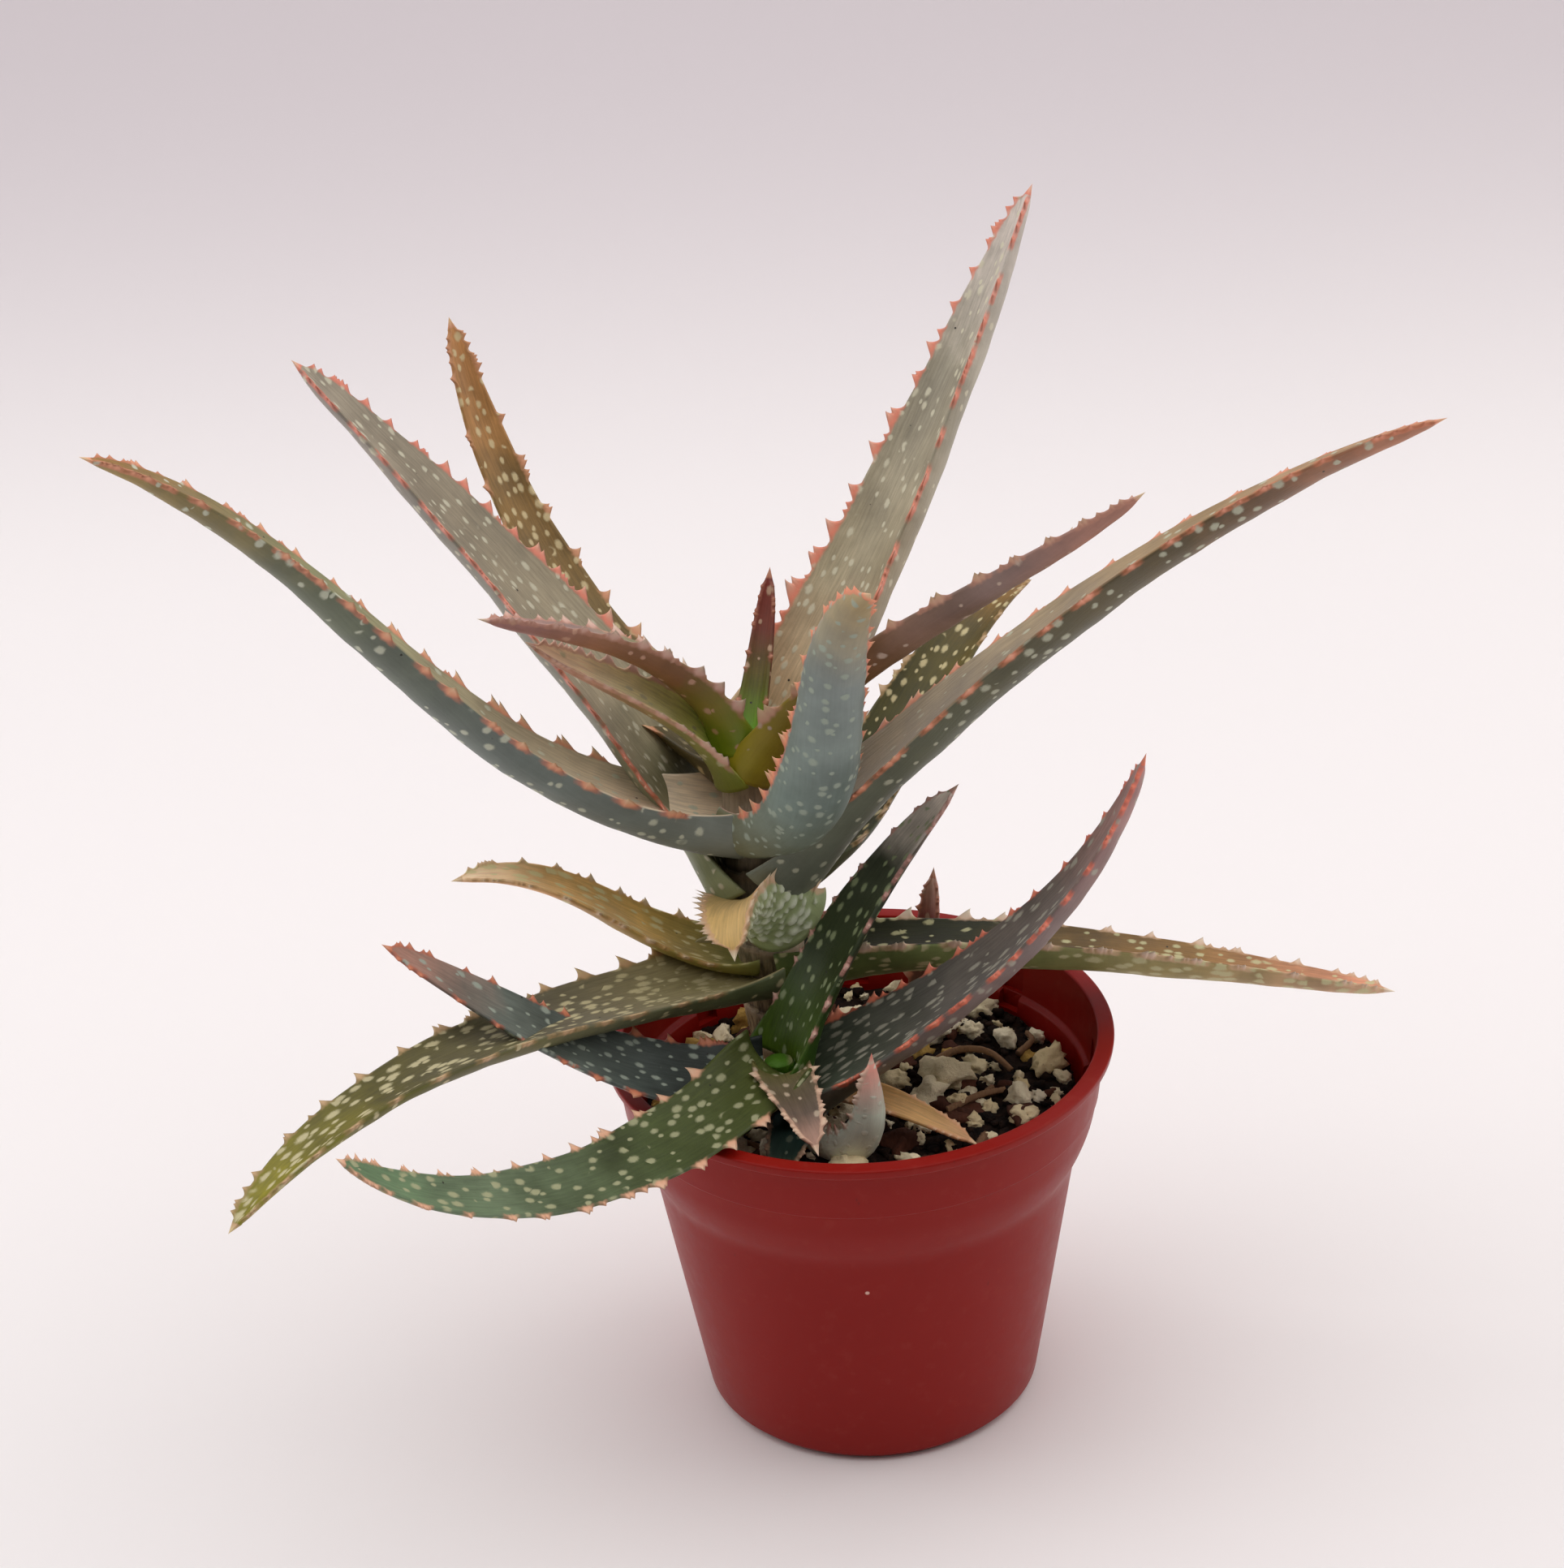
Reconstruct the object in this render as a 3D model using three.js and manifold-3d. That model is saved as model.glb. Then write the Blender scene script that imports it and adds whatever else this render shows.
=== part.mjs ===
// Potted aloe millotii hybrid in a round plastic pot of 85 mm.
// Millimetres, +Z up. The origin is the centre of the pot's flat underside,
// +X is to the right in the front view and -Y is towards the viewer.
import * as THREE from "three";
import { mergeVertices } from "three/addons/utils/BufferGeometryUtils.js";
import Module from "manifold-3d";

const wasm = await Module();
wasm.setup();
const { Manifold, Mesh } = wasm;

// Pot sizes
const POT_HEIGHT = 67.2;
const POT_FLOOR_TOP = 2.2;
const POT_SIDES = 36;
// Outside of the pot: foot, tapered wall, step under the collar, collar, lip
const POT_OUTSIDE = [
  [27.2, 0],
  [28.45, 1.5],
  [30.1, 10],
  [35.85, 45.4],
  [37.4, 48.4],
  [38.9, 52.4],
  [39.75, 56.8],
  [40.5, 62],
  [40.9, 65.2],
  [42.3, 65.6],
  [42.5, POT_HEIGHT],
];
// Inside of the pot from the rim down: collar wall, ledge, tapered wall, floor
const POT_INSIDE = [
  [39.6, POT_HEIGHT],
  [38.7, 57.4],
  [37.7, 57.0],
  [36.8, 52.5],
  [34.6, 46],
  [28.6, 9],
  [27.0, POT_FLOOR_TOP],
];
// The hollow is cut a little past the rim, widening as the collar does
const RIM_OVERCUT = { out: 0.1, up: 1 };
const LUG_SLOTS = 8;
const LUG_SLOT_WIDTH = 4.4;
// A lug slot is a notch in the ledge with a shallow pocket in the collar above it
const LEDGE_NOTCH = { inner: 36.4, outer: 38.6, bottom: 54.6, top: 58.0 };
const COLLAR_POCKET = { inner: 37.5, outer: 39.25, bottom: 57.8, top: 62.6 };
const DRAIN_HOLES = 6;
const DRAIN_HOLE_RADIUS = 3.0;
const DRAIN_HOLE_CIRCLE = 19;
const DRAIN_HOLE_SIDES = 8;
const DRAIN_HOLE_OVERCUT = 1;

// Soil sizes
const SOIL_TOP = 55.6;
const SOIL_GAP = 0.3;
const SOIL_SIDES = 20;
const SOIL_SEED = 11;
// Rings of the soil's surface: radius, height above SOIL_TOP, unevenness
const SOIL_SURFACE = [
  [36.1, -1.2, 0.3],
  [31, -0.3, 0.9],
  [24, 0, 0.9],
  [16, 0.3, 0.9],
  [8, 0.3, 0.6],
  [1, 0, 0],
];
const SOIL_SHOULDER = 4;
const SOIL_GRAINS = 48;
const GRAIN_SIZE = { small: 1.5, large: 3.6, mostlySmall: 1.6 };
const GRAIN_REACH = 35.6;
const GRAIN_LIFT = 0.12;
const GRAIN_LUMPS = { least: 0.8, spread: 0.35 };
const GRAIN_STRETCH = [1.15, 1, 0.8];

// Stems: the axis from the buried foot to the top, and radii along it
const MAIN_STEM = {
  axis: [
    [-12.5, 12, 40],
    [-13, 11.5, 58],
    [-15, 11, 88],
    [-16.5, 10.5, 117],
  ],
  radii: [2.6, 5.2, 5.6, 6.0, 2.8],
  rings: 13,
};
const PUP_STEM = {
  axis: [
    [-9, -3, 42],
    [-10, -6, 55],
    [-12, -9, 62],
    [-13.5, -12, 69.5],
  ],
  radii: [1.8, 3.4, 3.6, 3.4, 2.2],
  rings: 7,
};
const STEM_SIDES = 12;
// Leaf scars: every other ring stands proud and the ones between are sunk
const SCAR = { proud: 0.2, sunk: 0.1 };

// Clearance between pieces that touch in the real plant
const TOUCH_GAP = 0.3;

// Facets smaller than this are smoothed away after a cut
const FINEST_DETAIL = 0.05;
const WELD_DISTANCE = 0.001;
const CLEANING_PASSES = 6;

// Leaf section: places across the blade, from the right margin to the left
const ACROSS = [-1, -0.5, 0, 0.5, 1];
const MARGIN_THICKNESS = 0.7;
const TAPER = 0.45;
const CLASP_ARCH = 72;
const CLASP_SHARE = 0.22;
const SWELL = 0.12;
const SWELL_SHARE = 0.15;
const THINNING = 0.55;
const BLUNTEST_TIP = 0.0025;
const CENTRELINE_STEPS = 40;
const LEAF_RINGS = { long: 11, short: 8 };
const SHORT_LEAF = 60;

// Marginal teeth: a three-sided thorn that leans towards the leaf's tip
const TOOTH_START = 0.1;
const TOOTH_END = 0.965;
const TOOTH_SUNK = 0.75;
const TOOTH_HALF_THICKNESS = 0.31;
const TOOTH_LEAN = 0.35;
const TOOTH_SHRINK = 0.45;
const TOOTH_HALF_BASE = 0.62;
const TOOTH_FRONT = 0.8;
const TOOTH_PLACE = { least: 0.35, spread: 0.3 };
const TOOTH_SIZE = { least: 0.8, spread: 0.4 };

function leafOf(name, foot, azimuth, turn, length, rise, width, thickness, arch, roll, twist, teeth, tooth) {
  const seed = Math.round(azimuth * 7 + length * 13);
  return { name, foot, azimuth, turn, length, rise, width, thickness, arch, roll, twist, teeth, tooth, seed };
}

// Each leaf: foot (mm), azimuth and turn (degrees, 0 = right, 90 = away),
// length (mm), rise at foot, middle and tip (degrees), width and thickness
// (mm), arch of the blade, roll and twist (degrees), teeth a side, tooth (mm)
const LEAVES = [
  leafOf("leaf_left_long", [-18.5, 7.5, 103.5], 197, 7, 126, [9, 51, 29], 19, 5.6, 28, 1, 1, 15, 2.0),
  leafOf("leaf_upper_left", [-18, 14, 92], 169, 13, 110, [56, 54, 51], 26.5, 4.8, 27, -13, 11, 18, 2.0),
  leafOf("leaf_back_left", [-18, 15, 110], 138, -6, 94, [12, 45, 76], 13, 3.0, 28, -5, 0, 9, 1.7),
  leafOf("leaf_inner_left", [-19, 9, 117], 204, -6, 50, [78, 33, 20], 12, 2.8, 40, 8, 6, 9, 1.9),
  leafOf("leaf_inner_left_low", [-19, 9, 111], 198, -4, 42, [70, 38, 38], 11, 2.4, 38, -16, 0, 8, 1.9),
  leafOf("leaf_spike", [-16, 11, 116], 75, 0, 28, [40, 50, 62], 5.2, 2.2, 45, 0, 0, 3, 0.5),
  leafOf("leaf_inner_right", [-14, 9, 112], 338, 2, 83, [58, 36, 40], 14, 3.6, 40, -16, 0, 10, 1.6),
  leafOf("leaf_tall", [-13, 15, 110], 36, -1, 102, [49, 56, 62], 20.7, 6.2, 38, 8, -26, 13, 2.0),
  leafOf("leaf_front", [-16.5, 5.5, 104], 312, -11, 66, [-9, 77, 36], 16.3, 4.8, 45, -9, -42, 12, 1.5),
  leafOf("leaf_right_long", [-11, 9, 94.5], 349, -2, 131, [46, 40, 23], 24.5, 5.6, 18, 5, -23, 14, 1.9),
  leafOf("leaf_back_right", [-12, 15, 90], 46, 9, 78, [-4, 35, -10], 18, 3.8, 32, 0, 0, 9, 1.4),
  leafOf("leaf_front_curled", [-12, 5.5, 86], 219, 54, 23, [42, 23, -59], 17.5, 5.8, 34, 21, 8, 13, 2.0),
  leafOf("leaf_old_left", [-17, 10, 77], 190, 3, 53, [2, 38, -4], 12, 2.4, 32, -10, 0, 8, 1.2),
  leafOf("leaf_left_low", [-17, 8, 75], 218, 11, 107, [6, 7, -26], 17, 3.8, 32, -6, 14, 12, 1.7),
  leafOf("leaf_right_low", [-12, 11, 74], 357, -8, 100, [12, -4, -5], 17, 4.6, 42, -10, -6, 11, 1.5),
  leafOf("pup_leaf_left", [-15, -12, 65.5], 196, -3, 70, [4, 36, 41], 14.5, 3.4, 14, -20, 3, 9, 1.7),
  leafOf("pup_leaf_front_left", [-14, -14, 69.5], 237, -14, 100, [-2, 16, 49], 14, 3.6, 14, -18, -11, 11, 1.8),
  leafOf("pup_leaf_right", [-11, -12, 63], 355, 10, 83, [31, 42, 73], 18.7, 4.8, 25, 11, -22, 12, 1.5),
  leafOf("pup_leaf_upright", [-12, -9, 67], 22, -4, 53, [67, 55, 43], 14.5, 3.6, 22, 6, 0, 7, 0.9),
  leafOf("pup_leaf_curled", [-13, -14, 68.5], 280, 10, 21, [12, 0, -36], 10, 2.0, 30, 0, 0, 5, 1.1),
  leafOf("pup_leaf_pale", [-8.5, -15.5, 58.4], 304, 68, 28, [-54, 63, 87], 9.3, 2.4, 43, -63, 18, 7, 1.1),
  leafOf("pup_leaf_shaded", [-9.5, -14, 61], 252, 0, 16, [0, -14, -24], 9, 2.0, 25, 0, 0, 4, 1.0),
  leafOf("pup_leaf_dried", [-6, -9, 62], 334, 0, 26, [6, -10, -20], 8, 1.2, 30, 0, 0, 3, 0.8),
  leafOf("sucker_spike", [12, 29, 53.5], 60, 0, 24.5, [82, 80, 78], 6, 2.6, 45, 0, 0, 3, 0.9),
];
const DRY = ["pup_leaf_dried"];

// Colours: slot name, colour, roughness
const MATERIALS = {
  pot: material("#8f3527", 0.45),
  soil: material("#4a4036", 0.95),
  stem: material("#7d6a52", 0.9),
  leaf: material("#566650", 0.6),
  dry_leaf: material("#a8865a", 0.9),
};

function material(color, roughness) {
  return new THREE.MeshStandardMaterial({ color, roughness, metalness: 0, flatShading: true });
}

// Seeded random numbers, so that every build is the same
function seededRandom(seed) {
  let state = seed >>> 0;
  return () => {
    state = (Math.imul(state, 1664525) + 1013904223) >>> 0;
    return state / 4294967296;
  };
}

function radians(degrees) {
  return (degrees * Math.PI) / 180;
}

// Small vector sums on plain arrays
function plus(a, b, scale = 1) {
  return [a[0] + b[0] * scale, a[1] + b[1] * scale, a[2] + b[2] * scale];
}

function blend(a, b, share) {
  return [0, 1, 2].map((k) => a[k] * (1 - share) + b[k] * share);
}

// A closed solid from rings of points, each ring running the same way round.
// The end rings are closed by strips, so that a crescent is closed as well.
function solidOfRings(rings) {
  const sides = rings[0].length;
  const points = rings.flat();
  const triangles = [];
  for (let i = 0; i + 1 < rings.length; i += 1) {
    for (let k = 0; k < sides; k += 1) {
      const a = i * sides + k;
      const b = i * sides + ((k + 1) % sides);
      triangles.push([a, b, b + sides], [a, b + sides, a + sides]);
    }
  }
  const last = (rings.length - 1) * sides;
  for (let k = 0; k < sides / 2 - 1; k += 1) {
    const [a, b, c, d] = [k, k + 1, sides - 2 - k, sides - 1 - k];
    triangles.push([a, c, b], [a, d, c]);
    triangles.push([last + a, last + b, last + c], [last + a, last + c, last + d]);
  }
  return solidOfTriangles(points, triangles);
}

// A solid from points and triangles, turned so that its faces look outwards
function solidOfTriangles(points, triangles) {
  let volume = 0;
  for (const [a, b, c] of triangles) {
    const [p, q, r] = [points[a], points[b], points[c]];
    volume += p[0] * (q[1] * r[2] - q[2] * r[1]);
    volume += p[1] * (q[2] * r[0] - q[0] * r[2]);
    volume += p[2] * (q[0] * r[1] - q[1] * r[0]);
  }
  const facing = volume > 0 ? triangles : triangles.map(([a, b, c]) => [a, c, b]);
  return new Manifold(
    new Mesh({
      numProp: 3,
      vertProperties: new Float32Array(points.flat()),
      triVerts: new Uint32Array(facing.flat()),
    }),
  );
}

// Rise of a leaf at a share of its length, through foot, middle and tip
function riseAt(rise, share) {
  const foot = rise[0] * (1 - share) * (1 - 2 * share);
  const middle = rise[1] * 4 * share * (1 - share);
  const tip = rise[2] * share * (2 * share - 1);
  return foot + middle + tip;
}

// Direction, sideways and upper-face vectors of a leaf at a share of its length
function leafAxes(leaf, share) {
  const azimuth = radians(leaf.azimuth + leaf.turn * share);
  const rise = radians(riseAt(leaf.rise, share));
  const roll = radians(leaf.roll + leaf.twist * share);
  const along = [Math.cos(rise) * Math.cos(azimuth), Math.cos(rise) * Math.sin(azimuth), Math.sin(rise)];
  const level = [-Math.sin(azimuth), Math.cos(azimuth), 0];
  const upper = [-Math.sin(rise) * Math.cos(azimuth), -Math.sin(rise) * Math.sin(azimuth), Math.cos(rise)];
  const side = plus(level.map((v) => v * Math.cos(roll)), upper, Math.sin(roll));
  const face = plus(upper.map((v) => v * Math.cos(roll)), level, -Math.sin(roll));
  return { along, side, face };
}

// Points of a leaf's centreline in small steps from foot to tip
function centreline(leaf) {
  const points = [leaf.foot];
  const step = leaf.length / CENTRELINE_STEPS;
  for (let i = 0; i < CENTRELINE_STEPS; i += 1) {
    const { along } = leafAxes(leaf, (i + 0.5) / CENTRELINE_STEPS);
    points.push(plus(points[i], along, step));
  }
  return points;
}

function centreAt(line, share) {
  const place = share * CENTRELINE_STEPS;
  const i = Math.min(Math.floor(place), CENTRELINE_STEPS - 1);
  return blend(line[i], line[i + 1], place - i);
}

// Width, half arch and thickness of the blade at a share of its length
function bladeAt(leaf, share) {
  const clasp = Math.max(0, 1 - share / CLASP_SHARE) ** 2;
  const swell = 1 + SWELL * Math.max(0, 1 - share / SWELL_SHARE) ** 2;
  const width = leaf.width * Math.max(BLUNTEST_TIP, 1 - share) ** TAPER * swell;
  const arch = radians(leaf.arch + (CLASP_ARCH - leaf.arch) * clasp);
  const fullness = (leaf.thickness - MARGIN_THICKNESS) * (1 - share) ** THINNING;
  return { width, arch, thickness: MARGIN_THICKNESS + fullness };
}

// A place on the upper face of the blade: across runs from -1 to 1
function bladePoint(leaf, line, share, across, outset = 0) {
  const { side, face } = leafAxes(leaf, share);
  const { width, arch, thickness } = bladeAt(leaf, share);
  const radius = (width + 2 * outset) / (2 * arch);
  const angle = across * arch;
  const centring = (thickness - radius * (1 - Math.cos(arch))) / 2;
  let point = plus(centreAt(line, share), face, centring + radius * (1 - Math.cos(angle)));
  point = plus(point, side, radius * Math.sin(angle));
  const inward = plus(side.map((v) => -v * Math.sin(angle)), face, Math.cos(angle));
  const sideways = plus(side.map((v) => v * Math.cos(angle)), face, Math.sin(angle));
  return { point: plus(point, inward, outset), inward, sideways, thickness };
}

// One ring round the blade: over the upper face and back under the lower one
function bladeRing(leaf, line, share, outset) {
  const upper = ACROSS.map((across) => bladePoint(leaf, line, share, across, outset).point);
  const lower = [...ACROSS].reverse().map((across) => {
    const { point, inward, thickness } = bladePoint(leaf, line, share, across, outset);
    const belly = (thickness - MARGIN_THICKNESS) * (1 - across * across);
    return plus(point, inward, -(MARGIN_THICKNESS + belly + 2 * outset));
  });
  return [...upper, ...lower];
}

// Blade of a leaf, grown by outset on all sides where a clearance is needed
function blade(leaf, outset = 0) {
  const line = centreline(leaf);
  const count = leaf.length > SHORT_LEAF ? LEAF_RINGS.long : LEAF_RINGS.short;
  const rings = [];
  for (let i = 0; i < count; i += 1) {
    rings.push(bladeRing(leaf, line, i / (count - 1), outset));
  }
  return solidOfRings(rings);
}

// One marginal tooth: three roots sunk in the margin and a sharp point
function tooth(leaf, line, share, across, size, outset) {
  const { along } = leafAxes(leaf, share);
  const { point, inward, sideways } = bladePoint(leaf, line, share, across);
  const out = sideways.map((v) => v * Math.sign(across));
  const middle = plus(point, inward, -MARGIN_THICKNESS / 2);
  const root = plus(middle, out, -TOOTH_SUNK - outset);
  const half = size * TOOTH_HALF_BASE + outset * 1.5;
  const front = plus(root, along, half * TOOTH_FRONT);
  const points = [
    plus(root, along, -half),
    plus(front, inward, TOOTH_HALF_THICKNESS + outset),
    plus(front, inward, -TOOTH_HALF_THICKNESS - outset),
    plus(plus(middle, out, size + outset * 2), along, size * TOOTH_LEAN),
  ];
  return solidOfTriangles(points, [
    [0, 1, 2],
    [0, 3, 1],
    [1, 3, 2],
    [2, 3, 0],
  ]);
}

// All teeth of a leaf, evenly spaced with a little seeded unevenness
function teethOf(leaf, outset) {
  const random = seededRandom(leaf.seed);
  const line = centreline(leaf);
  const teeth = [];
  for (const across of [-1, 1]) {
    for (let i = 0; i < leaf.teeth; i += 1) {
      const even = (i + TOOTH_PLACE.least + TOOTH_PLACE.spread * random()) / leaf.teeth;
      const share = TOOTH_START + (TOOTH_END - TOOTH_START) * even;
      const uneven = TOOTH_SIZE.least + TOOTH_SIZE.spread * random();
      const size = leaf.tooth * uneven * (1 - TOOTH_SHRINK * share);
      teeth.push(tooth(leaf, line, share, across, size, outset));
    }
  }
  return teeth;
}

// A leaf with its teeth, grown by outset where a clearance is needed
function leafSolid(leaf, outset = 0) {
  return Manifold.union([blade(leaf, outset), ...teethOf(leaf, outset)]);
}

// The largest closed body of a solid, without crumbs cut off by a neighbour
function largestBody(solid) {
  const bodies = solid.decompose();
  return bodies.reduce((best, body) => (body.volume() > best.volume() ? body : best));
}

// The same solid after corners closer together than the weld distance are made one
function welded(solid) {
  const merged = mergeVertices(geometryOf(solid), WELD_DISTANCE);
  return new Manifold(
    new Mesh({
      numProp: 3,
      vertProperties: new Float32Array(merged.getAttribute("position").array),
      triVerts: new Uint32Array(merged.getIndex().array),
    }),
  );
}

// One clean body: crumbs, pinched necks and sealed bubbles left by cuts are removed
function cleanBody(solid) {
  let body = largestBody(solid.simplify(FINEST_DETAIL));
  for (let pass = 0; pass < CLEANING_PASSES; pass += 1) {
    const again = welded(body);
    if (again.decompose().length === 1 && again.numTri() === body.numTri()) {
      return body;
    }
    body = largestBody(again.simplify(FINEST_DETAIL));
  }
  return body;
}

// A stem as rings round its axis, grown by outset where a clearance is needed
function stem(shape, outset = 0) {
  const curve = new THREE.CatmullRomCurve3(shape.axis.map((p) => new THREE.Vector3(...p)));
  const rings = [];
  for (let i = 0; i <= shape.rings; i += 1) {
    const share = i / shape.rings;
    const centre = curve.getPoint(share);
    const place = share * (shape.radii.length - 1);
    const below = Math.min(Math.floor(place), shape.radii.length - 2);
    const part = place - below;
    const scar = i % 2 === 0 ? SCAR.proud : -SCAR.sunk;
    const radius = shape.radii[below] * (1 - part) + shape.radii[below + 1] * part + scar + outset;
    const lift = i === 0 ? -outset : i === shape.rings ? outset : 0;
    const ring = [];
    for (let k = 0; k < STEM_SIDES; k += 1) {
      const angle = (2 * Math.PI * k) / STEM_SIDES;
      ring.push([
        centre.x + radius * Math.cos(angle),
        centre.y + radius * Math.sin(angle),
        centre.z + lift,
      ]);
    }
    rings.push(ring);
  }
  return solidOfRings(rings);
}

// A solid turned about the Z axis from a profile of radius and height
function turned(profile, sides) {
  const rings = profile.map(([radius, height]) => {
    const ring = [];
    for (let k = 0; k < sides; k += 1) {
      const angle = (2 * Math.PI * k) / sides;
      ring.push([radius * Math.cos(angle), radius * Math.sin(angle), height]);
    }
    return ring;
  });
  return solidOfRings(rings);
}

// Pot: a turned shell with lug slots under the rim and drain holes
function pot() {
  const inside = [...POT_INSIDE].reverse();
  inside.push([POT_INSIDE[0][0] + RIM_OVERCUT.out, POT_HEIGHT + RIM_OVERCUT.up]);
  let body = turned(POT_OUTSIDE, POT_SIDES).subtract(turned(inside, POT_SIDES));
  for (let i = 0; i < LUG_SLOTS; i += 1) {
    for (const cut of [LEDGE_NOTCH, COLLAR_POCKET]) {
      const size = [cut.outer - cut.inner, LUG_SLOT_WIDTH, cut.top - cut.bottom];
      const middle = [(cut.outer + cut.inner) / 2, 0, (cut.top + cut.bottom) / 2];
      const slot = Manifold.cube(size, true).translate(middle);
      body = body.subtract(slot.rotate([0, 0, (360 * i) / LUG_SLOTS]));
    }
  }
  for (let i = 0; i < DRAIN_HOLES; i += 1) {
    const angle = (2 * Math.PI * (i + 0.5)) / DRAIN_HOLES;
    const [x, y] = [Math.cos(angle), Math.sin(angle)].map((v) => v * DRAIN_HOLE_CIRCLE);
    const depth = POT_FLOOR_TOP + 2 * DRAIN_HOLE_OVERCUT;
    const hole = Manifold.cylinder(depth, DRAIN_HOLE_RADIUS, DRAIN_HOLE_RADIUS, DRAIN_HOLE_SIDES);
    body = body.subtract(hole.translate([x, y, -DRAIN_HOLE_OVERCUT]));
  }
  return body;
}

// Soil: the fill of the pot with an uneven top
function soilBody(random) {
  const rings = [];
  const inside = [...POT_INSIDE].reverse().filter(([, height]) => height < SOIL_TOP - SOIL_SHOULDER);
  for (const [radius, height] of inside) {
    const lift = rings.length === 0 ? SOIL_GAP : 0;
    rings.push({ radius: radius - SOIL_GAP, height: height + lift, wave: 0 });
  }
  for (const [radius, above, wave] of SOIL_SURFACE) {
    rings.push({ radius, height: SOIL_TOP + above, wave });
  }
  return solidOfRings(
    rings.map(({ radius, height, wave }) => {
      const ring = [];
      for (let k = 0; k < SOIL_SIDES; k += 1) {
        const angle = (2 * Math.PI * k) / SOIL_SIDES;
        const up = height + wave * (2 * random() - 1);
        ring.push([radius * Math.cos(angle), radius * Math.sin(angle), up]);
      }
      return ring;
    }),
  );
}

// One lumpy mineral grain, half sunk in the soil
function grain(random, radius) {
  const ball = new THREE.IcosahedronGeometry(1, 0);
  const positions = ball.getAttribute("position");
  const corners = [];
  const triangles = [];
  const seen = new Map();
  for (let i = 0; i < positions.count; i += 1) {
    const corner = [positions.getX(i), positions.getY(i), positions.getZ(i)];
    const key = corner.map((v) => v.toFixed(4)).join();
    if (!seen.has(key)) {
      seen.set(key, corners.length);
      const size = radius * (GRAIN_LUMPS.least + GRAIN_LUMPS.spread * random());
      corners.push(corner.map((v, k) => v * size * GRAIN_STRETCH[k]));
    }
    triangles.push(seen.get(key));
  }
  const faces = [];
  for (let i = 0; i < triangles.length; i += 3) {
    faces.push(triangles.slice(i, i + 3));
  }
  return solidOfTriangles(corners, faces).rotate([0, 0, 360 * random()]);
}

// Soil with its grains fused in, cut clear of the stems and leaves
function soil(obstacles) {
  const random = seededRandom(SOIL_SEED);
  const parts = [soilBody(random)];
  for (let i = 0; i < SOIL_GRAINS; i += 1) {
    const spread = GRAIN_SIZE.large - GRAIN_SIZE.small;
    const radius = GRAIN_SIZE.small + spread * random() ** GRAIN_SIZE.mostlySmall;
    const reach = (GRAIN_REACH - radius) * Math.sqrt(random());
    const angle = 2 * Math.PI * random();
    const lift = SOIL_TOP + radius * GRAIN_LIFT;
    parts.push(grain(random, radius).translate([reach * Math.cos(angle), reach * Math.sin(angle), lift]));
  }
  const clear = Manifold.union(obstacles);
  return Manifold.union(parts).subtract(clear);
}

// A solid's surface as an indexed geometry
function geometryOf(solid) {
  const { vertProperties, triVerts } = solid.getMesh();
  const geometry = new THREE.BufferGeometry();
  geometry.setAttribute("position", new THREE.BufferAttribute(new Float32Array(vertProperties), 3));
  geometry.setIndex(new THREE.BufferAttribute(new Uint32Array(triVerts), 1));
  return geometry;
}

// A named mesh from a solid
function meshOf(name, solid, surface) {
  const geometry = geometryOf(cleanBody(solid));
  geometry.computeVertexNormals();
  const mesh = new THREE.Mesh(geometry, surface);
  mesh.name = name;
  return mesh;
}

function build() {
  const group = new THREE.Group();
  group.name = "potted_aloe";
  group.add(meshOf("pot", pot(), MATERIALS.pot));
  group.add(meshOf("main_stem", stem(MAIN_STEM), MATERIALS.stem));
  group.add(meshOf("pup_stem", stem(PUP_STEM), MATERIALS.stem));
  const obstacles = [stem(MAIN_STEM, TOUCH_GAP), stem(PUP_STEM, TOUCH_GAP)];
  LEAVES.forEach((leaf) => {
    const clear = leafSolid(leaf).subtract(Manifold.union(obstacles));
    const surface = DRY.includes(leaf.name) ? MATERIALS.dry_leaf : MATERIALS.leaf;
    group.add(meshOf(leaf.name, clear, surface));
    obstacles.push(leafSolid(leaf, TOUCH_GAP));
  });
  group.add(meshOf("soil", soil(obstacles), MATERIALS.soil));
  return group;
}

export default build();
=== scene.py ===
# Potted aloe millotii hybrid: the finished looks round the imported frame.
# Lengths here are millimetres in the frame's axes, with +Z up, +X to the right in
# the front view and -Y towards the viewer. MM turns them into metres.
import math
from collections import namedtuple

import bmesh
import bpy
import numpy as np
from mathutils import Matrix, Vector
from mathutils import noise as turbulence


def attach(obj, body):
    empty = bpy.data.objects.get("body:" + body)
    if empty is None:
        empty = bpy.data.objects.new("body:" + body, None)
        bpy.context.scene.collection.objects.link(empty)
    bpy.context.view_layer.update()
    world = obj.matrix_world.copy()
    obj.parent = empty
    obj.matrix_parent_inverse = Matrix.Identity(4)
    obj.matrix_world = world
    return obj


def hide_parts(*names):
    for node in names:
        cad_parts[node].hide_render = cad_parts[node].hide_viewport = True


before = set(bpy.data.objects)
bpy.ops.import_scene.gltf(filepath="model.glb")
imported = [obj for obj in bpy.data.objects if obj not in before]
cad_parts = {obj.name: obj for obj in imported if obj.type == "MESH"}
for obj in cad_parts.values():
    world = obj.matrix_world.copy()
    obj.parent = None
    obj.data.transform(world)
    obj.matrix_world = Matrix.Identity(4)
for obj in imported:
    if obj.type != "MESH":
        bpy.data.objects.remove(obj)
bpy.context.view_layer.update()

MM = 0.001

# Camera: place (mm), turns (degrees) and focal length in photo pixels
PHOTO_WIDTH = 1927
FOCAL_PIXELS = 4000
SENSOR_WIDTH = 36.0
CAMERA_PLACE = (0.0, -465.4, 347.2)
CAMERA_YAW = 1.29
CAMERA_PITCH = 26.62
CAMERA_ROLL = 3.18

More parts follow.
